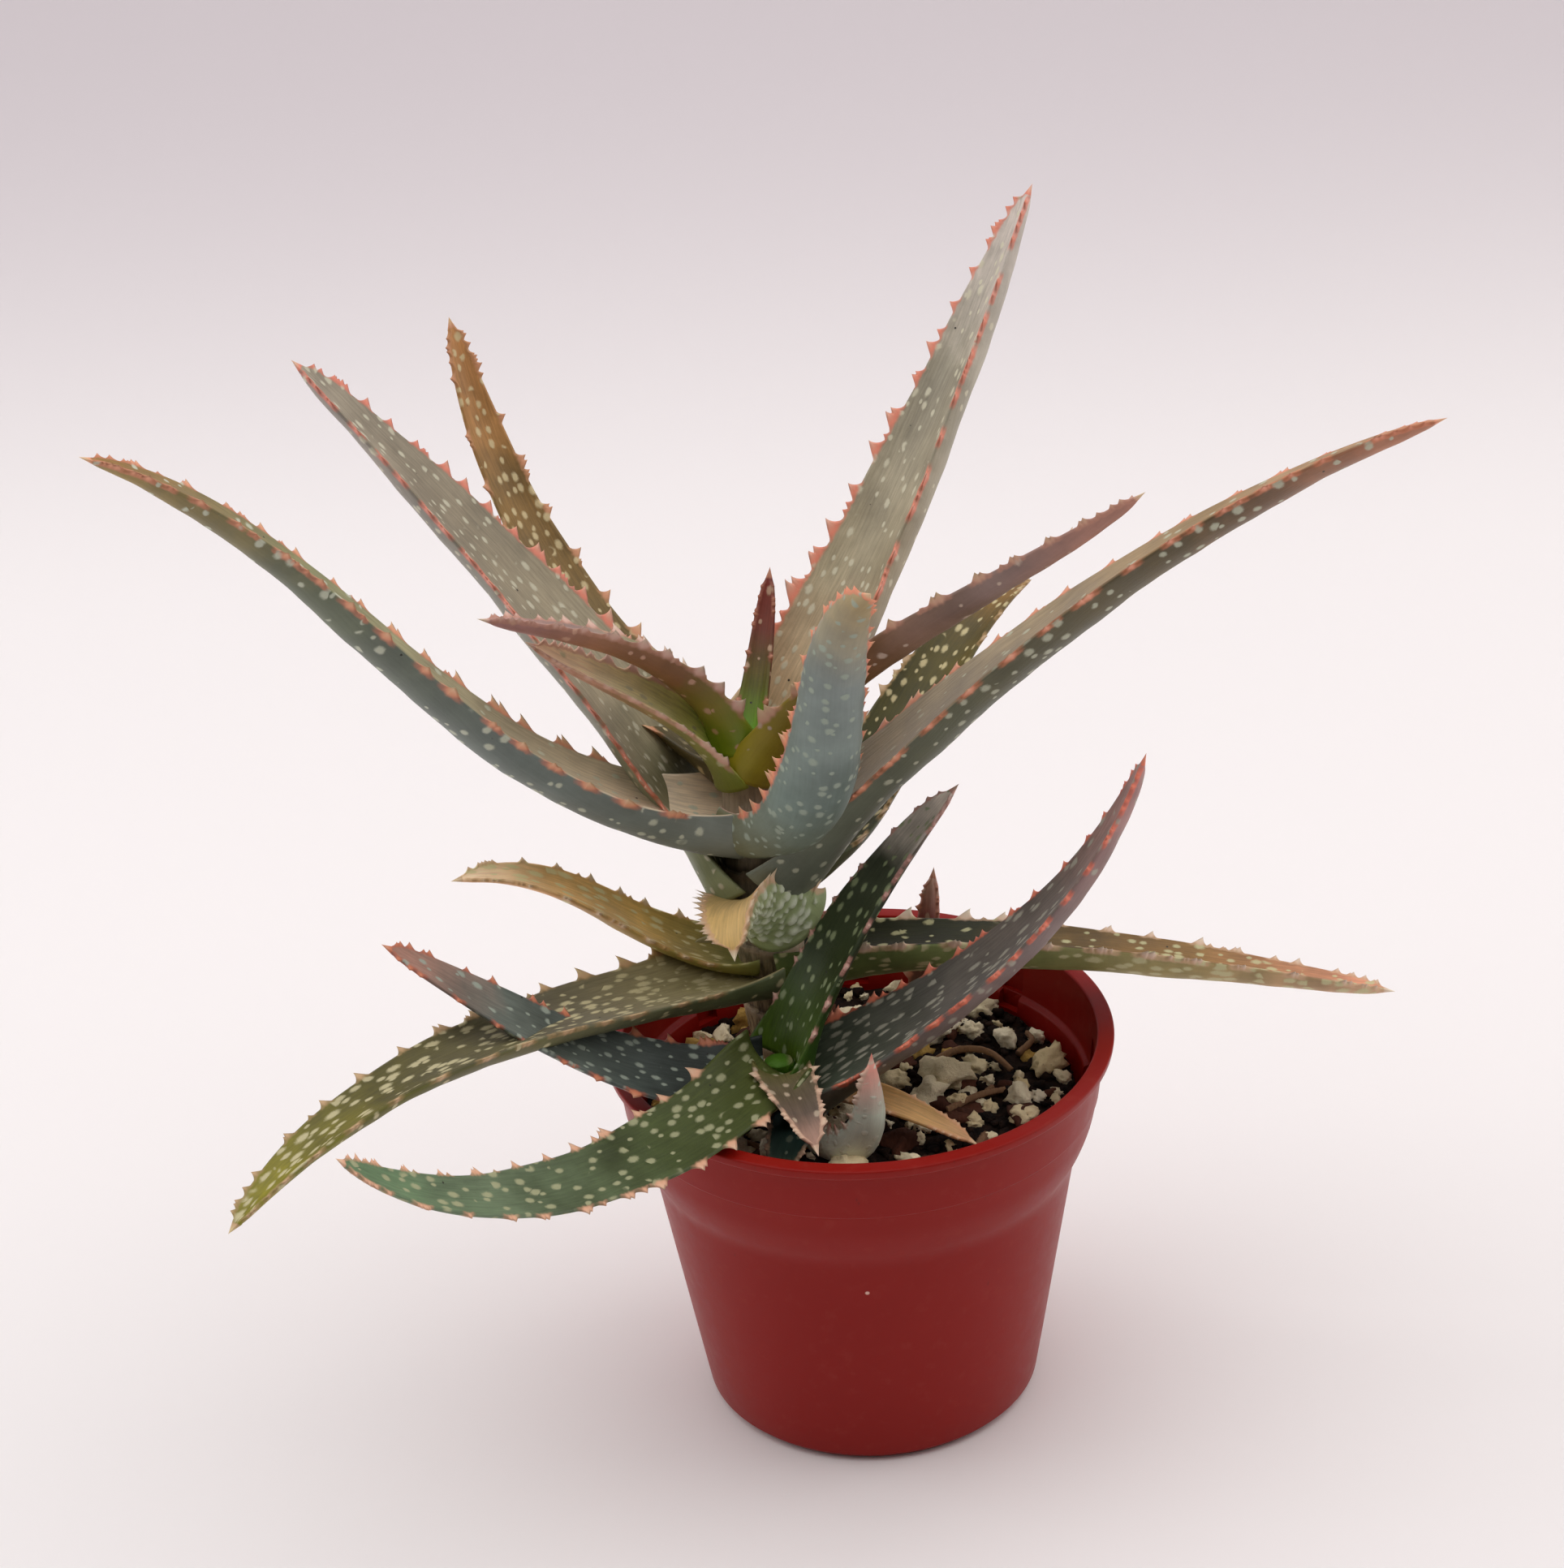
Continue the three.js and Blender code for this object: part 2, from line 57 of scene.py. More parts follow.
# Leaf form, the same rules as the leaves of the frame
CENTRELINE_STEPS = 320
MARGIN_THICKNESS = 0.7
TAPER = 0.45
BLUNTEST_TIP = 0.0025
CLASP_ARCH = 72
CLASP_SHARE = 0.22
SWELL = 0.12
SWELL_SHARE = 0.15
THINNING = 0.55
TOOTH_START = 0.1
TOOTH_END = 0.965
TOOTH_PLACE = 0.35
TOOTH_JITTER = 0.3
TOOTH_SIZES = (0.8, 0.4)

# Leaf mesh: spacing of rings and of points across (mm), closer on a warty leaf
RING_STEP = 0.72
ACROSS_STEP = 0.74
WARTY_SHARE = 0.6
ARC_ALLOWANCE = 1.1
FEWEST_ACROSS = 9
CLOSEST_RINGS = 0.11
EDGE_ROUND = 0.3
EDGE_CROWDING = 0.82
TOOTH_SAMPLES = (-1.0, -0.72, -0.48, -0.3, -0.15, -0.05, 0.0, 0.05, 0.15, 0.3, 0.48, 0.72, 1.0)
SPINE_SAMPLES = (0.2, 0.45, 0.7, 0.9, 1.0)
SPINE_LENGTH = 2.2
SPINE_POINT = 0.03

# Fine teeth: half base from the size (mm), outline, lean towards the tip, how much
# smaller they are at the tip, and how much longer than those of the frame, on the
# rosette and on the offset
TOOTH_BASE = (0.2, 0.75)
TOOTH_ROOM = 0.42
TOOTH_SHARPNESS = 1.45
TOOTH_LEAN = 0.5
TOOTH_SHRINK = 0.6
TOOTH_GROWTH = 1.55
PUP_TOOTH_GROWTH = 1.2
# Small teeth near the tip: distance from it (mm) and share of the full size
TIP_TEETH = ((0.9, 0.5), (2.6, 0.6), (4.9, 0.55))
TIP_JITTER = 0.5
SMALL_TEETH = 0.7
SMALL_SIZES = (0.25, 0.4)
TWIN_SHARE = 0.35
TWIN_SHIFT = (0.45, 0.8)
TWIN_SIZE = 0.6
# How much of a tooth's height the skin beside it takes up, how far in (mm), and how
# much each face draws in at a tooth (mm)
SKIN_PULL = 0.68
SKIN_PULL_REACH = 1.1
TOOTH_PINCH = 0.24
# Share of a full tooth at which it is all horn, and how fast the end spine turns to
# horn along its length
FULL_HORN = 0.8
SPINE_HORN = 1.5
# Coloured patch round the base of a tooth: reach along and into the blade (mm)
PATCH_ALONG = (0.8, 0.8)
PATCH_INWARD = (0.25, 0.08)

# Unevenness of the blade: waves of its margin as a share of the width, and low
# ripples over both faces, which end near the margin (mm)
WAVE_SIZE = 0.03
WAVE_LENGTH = 4.3
RIPPLES = (31.0, 17.0, 9.0, 5.0)
RIPPLE_SIZE = 0.09
RIPPLE_SLANT = 0.35
RIPPLE_MARGIN = 2
# Warts: share of length by width that is blade, tries for each, the stretch of the
# leaf that has them, distance from the margin (mm), sizes, how much smaller they
# are at the tip, their slope and the gap between them
BLADE_FILL = 0.72
WART_TRIES = 8
WART_STRETCH = (0.04, 0.985)
WART_INSET = 0.7
WART_SIZES = (0.5, 1.35)
WART_SHRINK = 0.35
WART_SLOPE = (-0.35, 0.6)
WART_GAP = 0.85
# Keeps the patterns of a leaf's two faces apart
FACE_SHIFT = 7.0

# Leaves of dead, dry skin
DRY = ("pup_leaf_dried",)

Leaf = namedtuple(
    "Leaf",
    "name foot azimuth turn length rise width thickness arch roll twist teeth tooth",
)

# Each leaf: foot (mm), azimuth and turn (degrees, 0 = right, 90 = away), length
# (mm), rise at foot, middle and tip (degrees), width and thickness (mm), arch
# of the blade, roll and twist (degrees), teeth a side, tooth (mm)
LEAVES = [Leaf(*row) for row in (
    ("leaf_left_long", (-18.5, 7.5, 103.5), 197, 7, 126, (9, 51, 29), 19, 5.6, 28, 1, 1, 15, 2.0),
    ("leaf_upper_left", (-18, 14, 92), 169, 13, 110, (56, 54, 51), 26.5, 4.8, 27, -13, 11, 18, 2.0),
    ("leaf_back_left", (-18, 15, 110), 138, -6, 94, (12, 45, 76), 13, 3.0, 28, -5, 0, 9, 1.7),
    ("leaf_inner_left", (-19, 9, 117), 204, -6, 50, (78, 33, 20), 12, 2.8, 40, 8, 6, 9, 1.9),
    ("leaf_inner_left_low", (-19, 9, 111), 198, -4, 42, (70, 38, 38), 11, 2.4, 38, -16, 0, 8, 1.9),
    ("leaf_spike", (-16, 11, 116), 75, 0, 28, (40, 50, 62), 5.2, 2.2, 45, 0, 0, 3, 0.5),
    ("leaf_inner_right", (-14, 9, 112), 338, 2, 83, (58, 36, 40), 14, 3.6, 40, -16, 0, 10, 1.6),
    ("leaf_tall", (-13, 15, 110), 36, -1, 102, (49, 56, 62), 20.7, 6.2, 38, 8, -26, 13, 2.0),
    ("leaf_front", (-16.5, 5.5, 104), 312, -11, 66, (-9, 77, 36), 16.3, 4.8, 45, -9, -42, 12, 1.5),
    ("leaf_right_long", (-11, 9, 94.5), 349, -2, 131, (46, 40, 23), 24.5, 5.6, 18, 5, -23, 14, 1.9),
    ("leaf_back_right", (-12, 15, 90), 46, 9, 78, (-4, 35, -10), 18, 3.8, 32, 0, 0, 9, 1.4),
    ("leaf_front_curled", (-12, 5.5, 86), 219, 54, 23, (42, 23, -59), 17.5, 5.8, 34, 21, 8, 13, 2.0),
    ("leaf_old_left", (-17, 10, 77), 190, 3, 53, (2, 38, -4), 12, 2.4, 32, -10, 0, 8, 1.2),
    ("leaf_left_low", (-17, 8, 75), 218, 11, 107, (6, 7, -26), 17, 3.8, 32, -6, 14, 12, 1.7),
    ("leaf_right_low", (-12, 11, 74), 357, -8, 100, (12, -4, -5), 17, 4.6, 42, -10, -6, 11, 1.5),
    ("pup_leaf_left", (-15, -12, 65.5), 196, -3, 70, (4, 36, 41), 14.5, 3.4, 14, -20, 3, 9, 1.7),
    ("pup_leaf_front_left", (-14, -14, 69.5), 237, -14, 100, (-2, 16, 49), 14, 3.6, 14, -18, -11, 11, 1.8),
    ("pup_leaf_right", (-11, -12, 63), 355, 10, 83, (31, 42, 73), 18.7, 4.8, 25, 11, -22, 12, 1.5),
    ("pup_leaf_upright", (-12, -9, 67), 22, -4, 53, (67, 55, 43), 14.5, 3.6, 22, 6, 0, 7, 0.9),
    ("pup_leaf_curled", (-13, -14, 68.5), 280, 10, 21, (12, 0, -36), 10, 2.0, 30, 0, 0, 5, 1.1),
    ("pup_leaf_pale", (-8.5, -15.5, 58.4), 304, 68, 28, (-54, 63, 87), 9.3, 2.4, 43, -63, 18, 7, 1.1),
    ("pup_leaf_shaded", (-9.5, -14, 61), 252, 0, 16, (0, -14, -24), 9, 2.0, 25, 0, 0, 4, 1.0),
    ("pup_leaf_dried", (-6, -9, 62), 334, 0, 26, (6, -10, -20), 8, 1.2, 30, 0, 0, 3, 0.8),
    ("sucker_spike", (12, 29, 53.5), 60, 0, 24.5, (82, 80, 78), 6, 2.6, 45, 0, 0, 3, 0.9),
)]

# Looks of a leaf: colours of the upper and the lower face at foot, 0.35, 0.7 and
# tip, then of spots, margin patches, teeth and tooth points, and how much of the
# margin the patches cover. Marks give spots per square centimetre, half length and
# half width (mm) on the upper and the lower face, and the height of warts (mm).
Look = namedtuple("Look", "upper under spot edge tooth point cover marks_upper marks_under")
FEW = (4.5, 0.62, 0.42, 0)
OBLONG = (9.0, 0.72, 0.42, 0)
STREAKS = (12.0, 1.1, 0.4, 0)
CREAM = (13.0, 0.74, 0.44, 0)
LARGE = (9.0, 0.88, 0.48, 0)
DENSE = (17.0, 1.1, 0.4, 0)
ROUND = (7.0, 0.62, 0.52, 0)
BEADS = (18.0, 0.48, 0.4, 0)
WARTS = (40.0, 0.85, 0.78, 0.55)
BARE = (0.0, 0.8, 0.5, 0)
# Spots stand one to a cell, and this share of the cells has one
SPOT_SHARE = 0.62

LOOKS = {
    # Painted light: the upper face is made pale at foot and 0.35 to lift the shade that falls between the
    # leaves there
    "leaf_left_long": Look(
        ("f0dcc0", "b0a688", "8c8c66", "94703a"), ("747a70", "737d77", "676e58", "967e44"),
        "ccd0ba", "d8866a", "e8a882", "eccaa0", 0.45, FEW, ROUND,
    ),
    "leaf_upper_left": Look(
        ("70744c", "a49a80", "908570", "988e7c"), ("8a9470", "949686", "969084", "a0968c"),
        "d0ccb4", "de7a64", "e89078", "e6bca0", 0.6, OBLONG, ROUND,
    ),
    "leaf_back_left": Look(
        ("544c2c", "705e34", "8c6c3a", "c88e56"), ("5c5230", "7a6636", "8f7040", "c48c58"),
        "dcca9c", "c68e64", "da9c78", "e6bc90", 0.5, CREAM, ROUND,
    ),
    "leaf_inner_left": Look(
        ("64a024", "84905a", "987e76", "b48a80"), ("788c16", "805630", "96684c", "b08080"),
        "c89c84", "c08a74", "dcb4a4", "ecd6bc", 0.5, FEW, ROUND,
    ),
    # Painted light: the upper face is made very pale to lift the shade that falls on it
    "leaf_inner_left_low": Look(
        ("d0e85c", "e8e490", "f0e0b0", "f4d4b0"), ("808a2c", "8e8a50", "b08462", "c48c74"),
        "c8c49a", "d8a48c", "e4bcaa", "f0d8c0", 0.8, FEW, ROUND,
    ),
    "leaf_spike": Look(
        ("5a9010", "5c5c10", "743a2c", "7c3228"), ("508410", "5e3820", "682c26", "6c2422"),
        "c8a68c", "9a5a48", "b87a60", "c89078", 0.3, FEW, OBLONG,
    ),
    "leaf_inner_right": Look(
        ("8a8c50", "9c8874", "ac9690", "c8a294"), ("a09420", "744e24", "907870", "b47e6c"),
        "ccb6a4", "c8907a", "d8ac90", "e8cca4", 0.5, FEW, FEW,
    ),
    # Painted light: the upper face is made pale at the foot to lift the shade that falls near the base
    "leaf_tall": Look(
        ("dcbc94", "a89c80", "a49c88", "dcd0c6"), ("94826a", "a69a80", "b0aa98", "ccc2b8"),
        "d8d2b8", "ea7e64", "ec967c", "eebaa2", 0.5, OBLONG, FEW,
    ),
    "leaf_front": Look(
        ("c8a898", "b4a090", "989078", "b89060"), ("787a5e", "788880", "8a9490", "b09c74"),
        "a8b4a4", "ee8468", "eca07c", "ecc8a0", 0.5, FEW, BEADS,
    ),
    "leaf_right_long": Look(
        ("a29a86", "a4967c", "a0855e", "b48e6c"), ("767c6c", "60634f", "5e4f30", "b4785a"),
        "c0c2aa", "d8825c", "e89e80", "eebc94", 0.6, FEW, ROUND,
    ),
    "leaf_back_right": Look(
        ("2c3008", "343809", "544a16", "84602a"), ("3c421c", "464a1e", "605622", "84643a"),
        "d4c696", "b89462", "ccae8c", "e0c4a0", 0.6, CREAM, ROUND,
    ),
    "leaf_front_curled": Look(
        ("b4a060", "c8ac74", "dcb878", "d8b470"), ("9caa78", "a8b684", "aeb886", "c4b87c"),
        "e8eed6", "e0b08c", "e6caa8", "f0e0c0", 0.8, BARE, WARTS,
    ),
    # Painted light: both faces' colours are raised to lift the shade that falls on this leaf
    "leaf_old_left": Look(
        ("8a8a48", "c8a458", "eebe78", "fadab2"), ("8a8846", "b09a4e", "e0aa6a", "f0c49a"),
        "e4d8a0", "d4a46c", "e0c098", "eed4ac", 0.5, STREAKS, FEW,
    ),
    "leaf_left_low": Look(
        ("aa9e72", "6a6450", "585220", "8a821a"), ("5e6844", "706e50", "5e5e28", "8c8828"),
        "d0c69c", "ac8e60", "cca880", "dcc490", 0.4, DENSE, ROUND,
    ),
    "leaf_right_low": Look(
        ("1c2004", "282a0a", "9a743e", "d49272"), ("66783e", "829058", "a89660", "d8ac88"),
        "d0cc9c", "e0b894", "e8ccb4", "f2e2c8", 1.0, CREAM, DENSE,
    ),
    "pup_leaf_left": Look(
        ("2a302e", "4a524e", "687068", "ac8070"), ("2c3634", "444f4c", "626a60", "946a60"),
        "a8b2a4", "bc664c", "d88664", "e6a484", 0.4, OBLONG, ROUND,
    ),
    "pup_leaf_front_left": Look(
        ("4a5220", "404b24", "647458", "64805c"), ("4c5a28", "50603a", "6c8064", "78886a"),
        "acac86", "cc9878", "e4b090", "ecc4a4", 0.15, LARGE, ROUND,
    ),
    "pup_leaf_right": Look(
        ("465040", "5a5750", "70645c", "bc8c84"), ("606458", "7a6e68", "806c68", "b08480"),
        "aca898", "ea7254", "ec8468", "f09c80", 0.6, STREAKS, ROUND,
    ),
    "pup_leaf_upright": Look(
        ("466006", "243404", "3c4230", "fcece0"), ("3c6410", "223408", "2e3626", "988474"),
        "94a078", "cc9084", "daa89c", "e0bca8", 0.5, OBLONG, FEW,
    ),
    "pup_leaf_curled": Look(
        ("6a6436", "6c6048", "6c5a4c", "c09480"), ("505430", "645840", "745e4c", "b88c78"),
        "c8b49c", "e0b498", "e6c4a8", "eed0b4", 0.9, FEW, FEW,
    ),
    # Painted light: the lower face is made near-white to lift the shade that falls on it
    "pup_leaf_pale": Look(
        ("98a47c", "a0aa84", "b0b08c", "d08c7c"), ("e0ead8", "e0eada", "dae6d4", "f0a898"),
        "e8eedc", "d8b8a0", "e4c8b4", "ea9484", 0.5, FEW, BEADS,
    ),
    "pup_leaf_shaded": Look(
        ("24383a", "2a4440", "385046", "68745c"), ("20363a", "263f3c", "32483e", "5c6a54"),
        "8a9884", "bc9a7a", "d4b292", "e4c8ac", 0.6, FEW, FEW,
    ),
    "pup_leaf_dried": Look(
        ("c08c54", "d8a464", "e4b474", "e0ac7c"), ("b08048", "c49458", "d0a468", "cc9c6c"),
        "dcb888", "e8ac80", "e4b890", "eccca4", 0.9, BARE, BARE,
    ),
    "sucker_spike": Look(
        ("5a4c34", "6e3e34", "8a4840", "c89c88"), ("54442e", "683a32", "804640", "b88c7c"),
        "b0907c", "a86850", "c88870", "d4a890", 0.4, FEW, FEW,
    ),
}


def linear(hex_colour):
    """A hex colour as linear RGBA."""
    values = [int(hex_colour[i : i + 2], 16) / 255 for i in (0, 2, 4)]
    return [((v + 0.055) / 1.055) ** 2.4 for v in values] + [1.0]


# Small wrappers round shader nodes
def put(tree, socket, value):
    """Sets a socket to a value or a hex colour, or links it to another socket."""
    if isinstance(value, bpy.types.NodeSocket):
        tree.links.new(value, socket)
    else:
        socket.default_value = linear(value) if isinstance(value, str) else value


def new_node(tree, kind, *values, **settings):
    """A node with its settings, and with these values or links in its first sockets."""
    node = tree.nodes.new("ShaderNode" + kind)
    for name, value in settings.items():
        setattr(node, name, value)
    for socket, value in zip(node.inputs, values):
        put(tree, socket, value)
    return node


def attribute(tree, name):
    return new_node(tree, "Attribute", attribute_name=name).outputs["Vector"]


def separated(tree, vector):
    return new_node(tree, "SeparateXYZ", vector).outputs


def number(tree, operation, a, b):
    return new_node(tree, "Math", a, b, operation=operation).outputs[0]


def added(tree, a, b):
    return number(tree, "ADD", a, b)


def times(tree, a, b):
    return number(tree, "MULTIPLY", a, b)


def opposite(tree, value):
    """1 where the value is 0, and 0 where it is 1."""
    return number(tree, "SUBTRACT", 1.0, value)


def centred(tree, value, size):
    """A noise value of 0 to 1 turned into one of -size/2 to size/2."""
    return times(tree, number(tree, "SUBTRACT", value, 0.5), size)


def varied(tree, base, noise, size):
    """A value made uneven by noise, by up to half of this size either way."""
    return added(tree, base, centred(tree, noise, size))


def scaled(tree, vector, factor):
    node = new_node(tree, "VectorMath", vector, operation="SCALE")
    put(tree, node.inputs["Scale"], factor)
    return node.outputs[0]


def stretched(tree, vector, factors, shift=0.0):
    """A vector times three factors, then moved by the same shift along two of its axes."""
    shifts = (shift, shift, 0.0)
    return new_node(tree, "VectorMath", vector, factors, shifts, operation="MULTIPLY_ADD").outputs[0]


def step(tree, value, low, high):
    """A smooth step from 0 at low to 1 at high."""
    return new_node(tree, "MapRange", value, low, high, interpolation_type="SMOOTHSTEP").outputs[0]


def mixed(tree, factor, a, b):
    node = new_node(tree, "Mix", factor, data_type="RGBA")
    put(tree, node.inputs[6], a)
    put(tree, node.inputs[7], b)
    return node.outputs[2]


def overlaid(tree, colour, value, band, strength, over):
    """A colour with another laid over it where a value rises through a band."""
    return mixed(tree, times(tree, step(tree, value, *band), strength), colour, over)


def noise_texture(tree, vector, scale, detail=3.0, roughness=0.55):
    node = new_node(tree, "TexNoise", vector)
    node.inputs["Scale"].default_value = scale
    node.inputs["Detail"].default_value = detail
    node.inputs["Roughness"].default_value = roughness
    return node.outputs[0]


def cells(tree, vector, scale, dimensions="3D"):
    """Distance from the nearest of many scattered points, and a random colour for each."""
    node = new_node(tree, "TexVoronoi", vector, voronoi_dimensions=dimensions)
    node.inputs["Scale"].default_value = scale
    return node.outputs["Distance"], node.outputs["Color"]


def dots(tree, vector, scale, empty, inner, outer):
    """1 in small round dots with soft edges, with none in the empty share of the cells."""
    distance, cell = cells(tree, vector, scale)
    some = step(tree, separated(tree, cell)[0], empty, empty + 0.02)
    return times(tree, opposite(tree, step(tree, distance, inner, outer)), some)


def ramp(tree, value, hex_colours, places):
    node = new_node(tree, "ValToRGB", value)
    stops = node.color_ramp.elements
    while len(stops) < len(hex_colours):
        stops.new(0.5)
    for stop, colour, place in zip(stops, hex_colours, places):
        stop.position = place
        stop.color = linear(colour)
    return node.outputs[0]


def new_material(name, roughness, specular):
    material = bpy.data.materials.new(name)
    material.use_nodes = True
    tree = material.node_tree
    shader = tree.nodes["Principled BSDF"]
    shader.inputs["Roughness"].default_value = roughness
    shader.inputs["Specular IOR Level"].default_value = specular
    return material, tree, shader


def coat(tree, shader, colour, relief, strength, depth):
    """Gives a shader its colour, and a fine relief of this depth (mm)."""
    put(tree, shader.inputs["Base Color"], colour)
    node = new_node(tree, "Bump")
    node.inputs["Strength"].default_value = strength
    node.inputs["Distance"].default_value = depth * MM
    put(tree, node.inputs["Height"], relief)
    put(tree, shader.inputs["Normal"], node.outputs[0])


def object_place(tree):
    """Places on the piece in millimetres."""
    return scaled(tree, new_node(tree, "TexCoord").outputs["Object"], 1 / MM)


# Leaf skin: colours along two faces, clouds, lines, patches, spots and horny teeth.
# Scales are noise cells a millimetre. A step gives where a change starts and ends.
STOPS = (0.04, 0.35, 0.7, 0.98)
STOP_DRIFT = 0.2
FACE_STEP = (0.3, 0.7)
CLOUD_SCALE = 0.11
CLOUD_LIGHT = 1.1
LINE_SCALES = (0.16, 2.4, 1.0)
LINES_UNDER = 0.25
LINES_UPPER = 0.65
CRUMB_SCALE = 1.6
PATCH_RAGGED = 0.5
PATCH_START = 0.25
PATCH_COVER = 0.4
PATCH_STEP = (-0.15, 0.45)
PATCH_STRENGTH = 0.62
HORN_STEP = (0.1, 0.32)
HORN_STOPS = (0.1, 0.4, 0.95)
# Specks: scale, share of empty cells, and where their edge starts and ends
SPECKS = (0.28, 0.7, 0.04, 0.075)
SPECK_COLOUR = (0.02, 0.014, 0.01, 1.0)
# Spots: scales and strength of their groups, smallest size and range of sizes,
# unevenness of the outline, and the step of the outline
SQUARE_CENTIMETRE = 100
GROUP_SCALES = (0.16, 0.12, 0.0)
GROUPING = 2.2
GROUP_STEP = 0.03
SPOT_SIZES = (0.55, 0.9)
SPOT_RAGGED = 0.9
SPOT_STEP = (0.5, 1.25)
WART_STEP = (-0.25, 0.6)
WART_RAGGED = 0.7
MARK_STRENGTH = 0.85
SKIN_ROUGHNESS = 0.5
ROUGHNESS_RANGE = 0.3
# Relief of the skin: shares of marks, lines and crumbs, strength and depth (mm)
MARK_RELIEF = 0.5
LINE_RELIEF = 0.5
CRUMB_RELIEF = 0.35
SKIN_RELIEF = (0.55, 0.22)


def skin_colour(tree, look, share, upper, cloud, lines):
    """Colours along both faces, clouded, and lined more strongly on the upper one."""
    place = varied(tree, share, cloud, STOP_DRIFT)
    above = ramp(tree, place, look.upper, STOPS)
    below = ramp(tree, place, look.under, STOPS)
    colour = mixed(tree, step(tree, upper, *FACE_STEP), below, above)
    light = varied(tree, 1.0, cloud, CLOUD_LIGHT)
    lined = added(tree, LINES_UNDER, times(tree, upper, LINES_UPPER))
    streak = added(tree, 1.0, times(tree, centred(tree, lines, 1.0), lined))
    return scaled(tree, colour, times(tree, light, streak))


def margin_patches(tree, colour, look, patch, crumb):
    """Coloured patches round the teeth, larger and closer where their cover is high."""
    outline = PATCH_START - PATCH_COVER * look.cover
    band = [outline + edge for edge in PATCH_STEP]
    ragged = varied(tree, patch, crumb, PATCH_RAGGED)
    return overlaid(tree, colour, ragged, band, PATCH_STRENGTH, look.edge)


def soft_spots(tree, marks, grain, crumb, seed):
    """Soft-edged oval spots in loose groups: 1 inside a spot and 0 between them."""
    density, half_length, half_width, _ = marks
    if density == 0:
        return 0.0
    room = math.sqrt(SQUARE_CENTIMETRE * SPOT_SHARE / (density * half_length * half_width))
    factors = (1 / (half_length * room), 1 / (half_width * room), 0.0)
    distance, cell = cells(tree, stretched(tree, grain, factors, seed), 1.0, "2D")
    chance, size, _ = separated(tree, cell)
    groups = noise_texture(tree, stretched(tree, grain, GROUP_SCALES, seed), 1.0, 1.0)
    chance = varied(tree, chance, groups, GROUPING)
    shown = step(tree, chance, 1 - SPOT_SHARE - GROUP_STEP, 1 - SPOT_SHARE + GROUP_STEP)
    reach = times(tree, added(tree, SPOT_SIZES[0], times(tree, size, SPOT_SIZES[1])), 1 / room)
    away = varied(tree, number(tree, "DIVIDE", distance, reach), crumb, SPOT_RAGGED)
    return times(tree, opposite(tree, step(tree, away, *SPOT_STEP)), shown)


def leaf_marks(tree, leaf, upper, warts, grain, crumb):
    """Spots of both faces, or on the lower one its warts."""
    look = LOOKS[leaf.name]
    above = soft_spots(tree, look.marks_upper, grain, crumb, leaf.length)
    if look.marks_under[3]:
        below = step(tree, varied(tree, warts, crumb, WART_RAGGED), *WART_STEP)
    else:
        below = soft_spots(tree, look.marks_under, grain, crumb, leaf.azimuth)
    side = step(tree, upper, *FACE_STEP)
    both = added(tree, times(tree, above, side), times(tree, below, opposite(tree, side)))
    return times(tree, both, MARK_STRENGTH)


def leaf_material(leaf):
    look = LOOKS[leaf.name]
    material, tree, shader = new_material("skin_" + leaf.name, SKIN_ROUGHNESS, 0.42)
    share, _, upper = separated(tree, attribute(tree, "leaf_place"))
    warts, tooth, patch = separated(tree, attribute(tree, "leaf_marks"))
    grain = attribute(tree, "leaf_grain")
    cloud = noise_texture(tree, grain, CLOUD_SCALE, 4.0)
    lines = noise_texture(tree, stretched(tree, grain, LINE_SCALES), 1.0)
    crumb = noise_texture(tree, grain, CRUMB_SCALE, 4.0, 0.7)
    colour = skin_colour(tree, look, share, upper, cloud, lines)
    colour = margin_patches(tree, colour, look, patch, crumb)
    colour = mixed(tree, dots(tree, grain, *SPECKS), colour, SPECK_COLOUR)
    mark = leaf_marks(tree, leaf, upper, warts, grain, crumb)
    colour = mixed(tree, mark, colour, look.spot)
    horn = ramp(tree, tooth, (look.edge, look.tooth, look.point), HORN_STOPS)
    colour = mixed(tree, step(tree, tooth, *HORN_STEP), colour, horn)
    put(tree, shader.inputs["Roughness"], varied(tree, SKIN_ROUGHNESS, cloud, ROUGHNESS_RANGE))
    relief = varied(tree, times(tree, mark, MARK_RELIEF), lines, LINE_RELIEF)
    relief = varied(tree, relief, crumb, CRUMB_RELIEF)
    coat(tree, shader, colour, relief, *SKIN_RELIEF)
    return material


# Leaf form
def rise_at(rise, share):
    """Rise at a share of the length, from the rises at foot, middle and tip."""
    foot = rise[0] * (1 - share) * (1 - 2 * share)
    middle = rise[1] * 4 * share * (1 - share)
    tip = rise[2] * share * (2 * share - 1)
    return foot + middle + tip


def leaf_axes(leaf, share):
    """Direction, sideways and upper-face vectors at shares of the length."""
    share = np.minimum(share, 1.0)
    azimuth = np.radians(leaf.azimuth + leaf.turn * share)
    rise = np.radians(rise_at(leaf.rise, share))
    roll = np.radians(leaf.roll + leaf.twist * share)[:, None]
    east, north = np.cos(azimuth), np.sin(azimuth)
    out, up = np.cos(rise), np.sin(rise)
    along = np.stack([out * east, out * north, up], -1)
    level = np.stack([-north, east, np.zeros_like(east)], -1)
    upper = np.stack([-up * east, -up * north, out], -1)
    side = level * np.cos(roll) + upper * np.sin(roll)
    face = upper * np.cos(roll) - level * np.sin(roll)
    return along, side, face


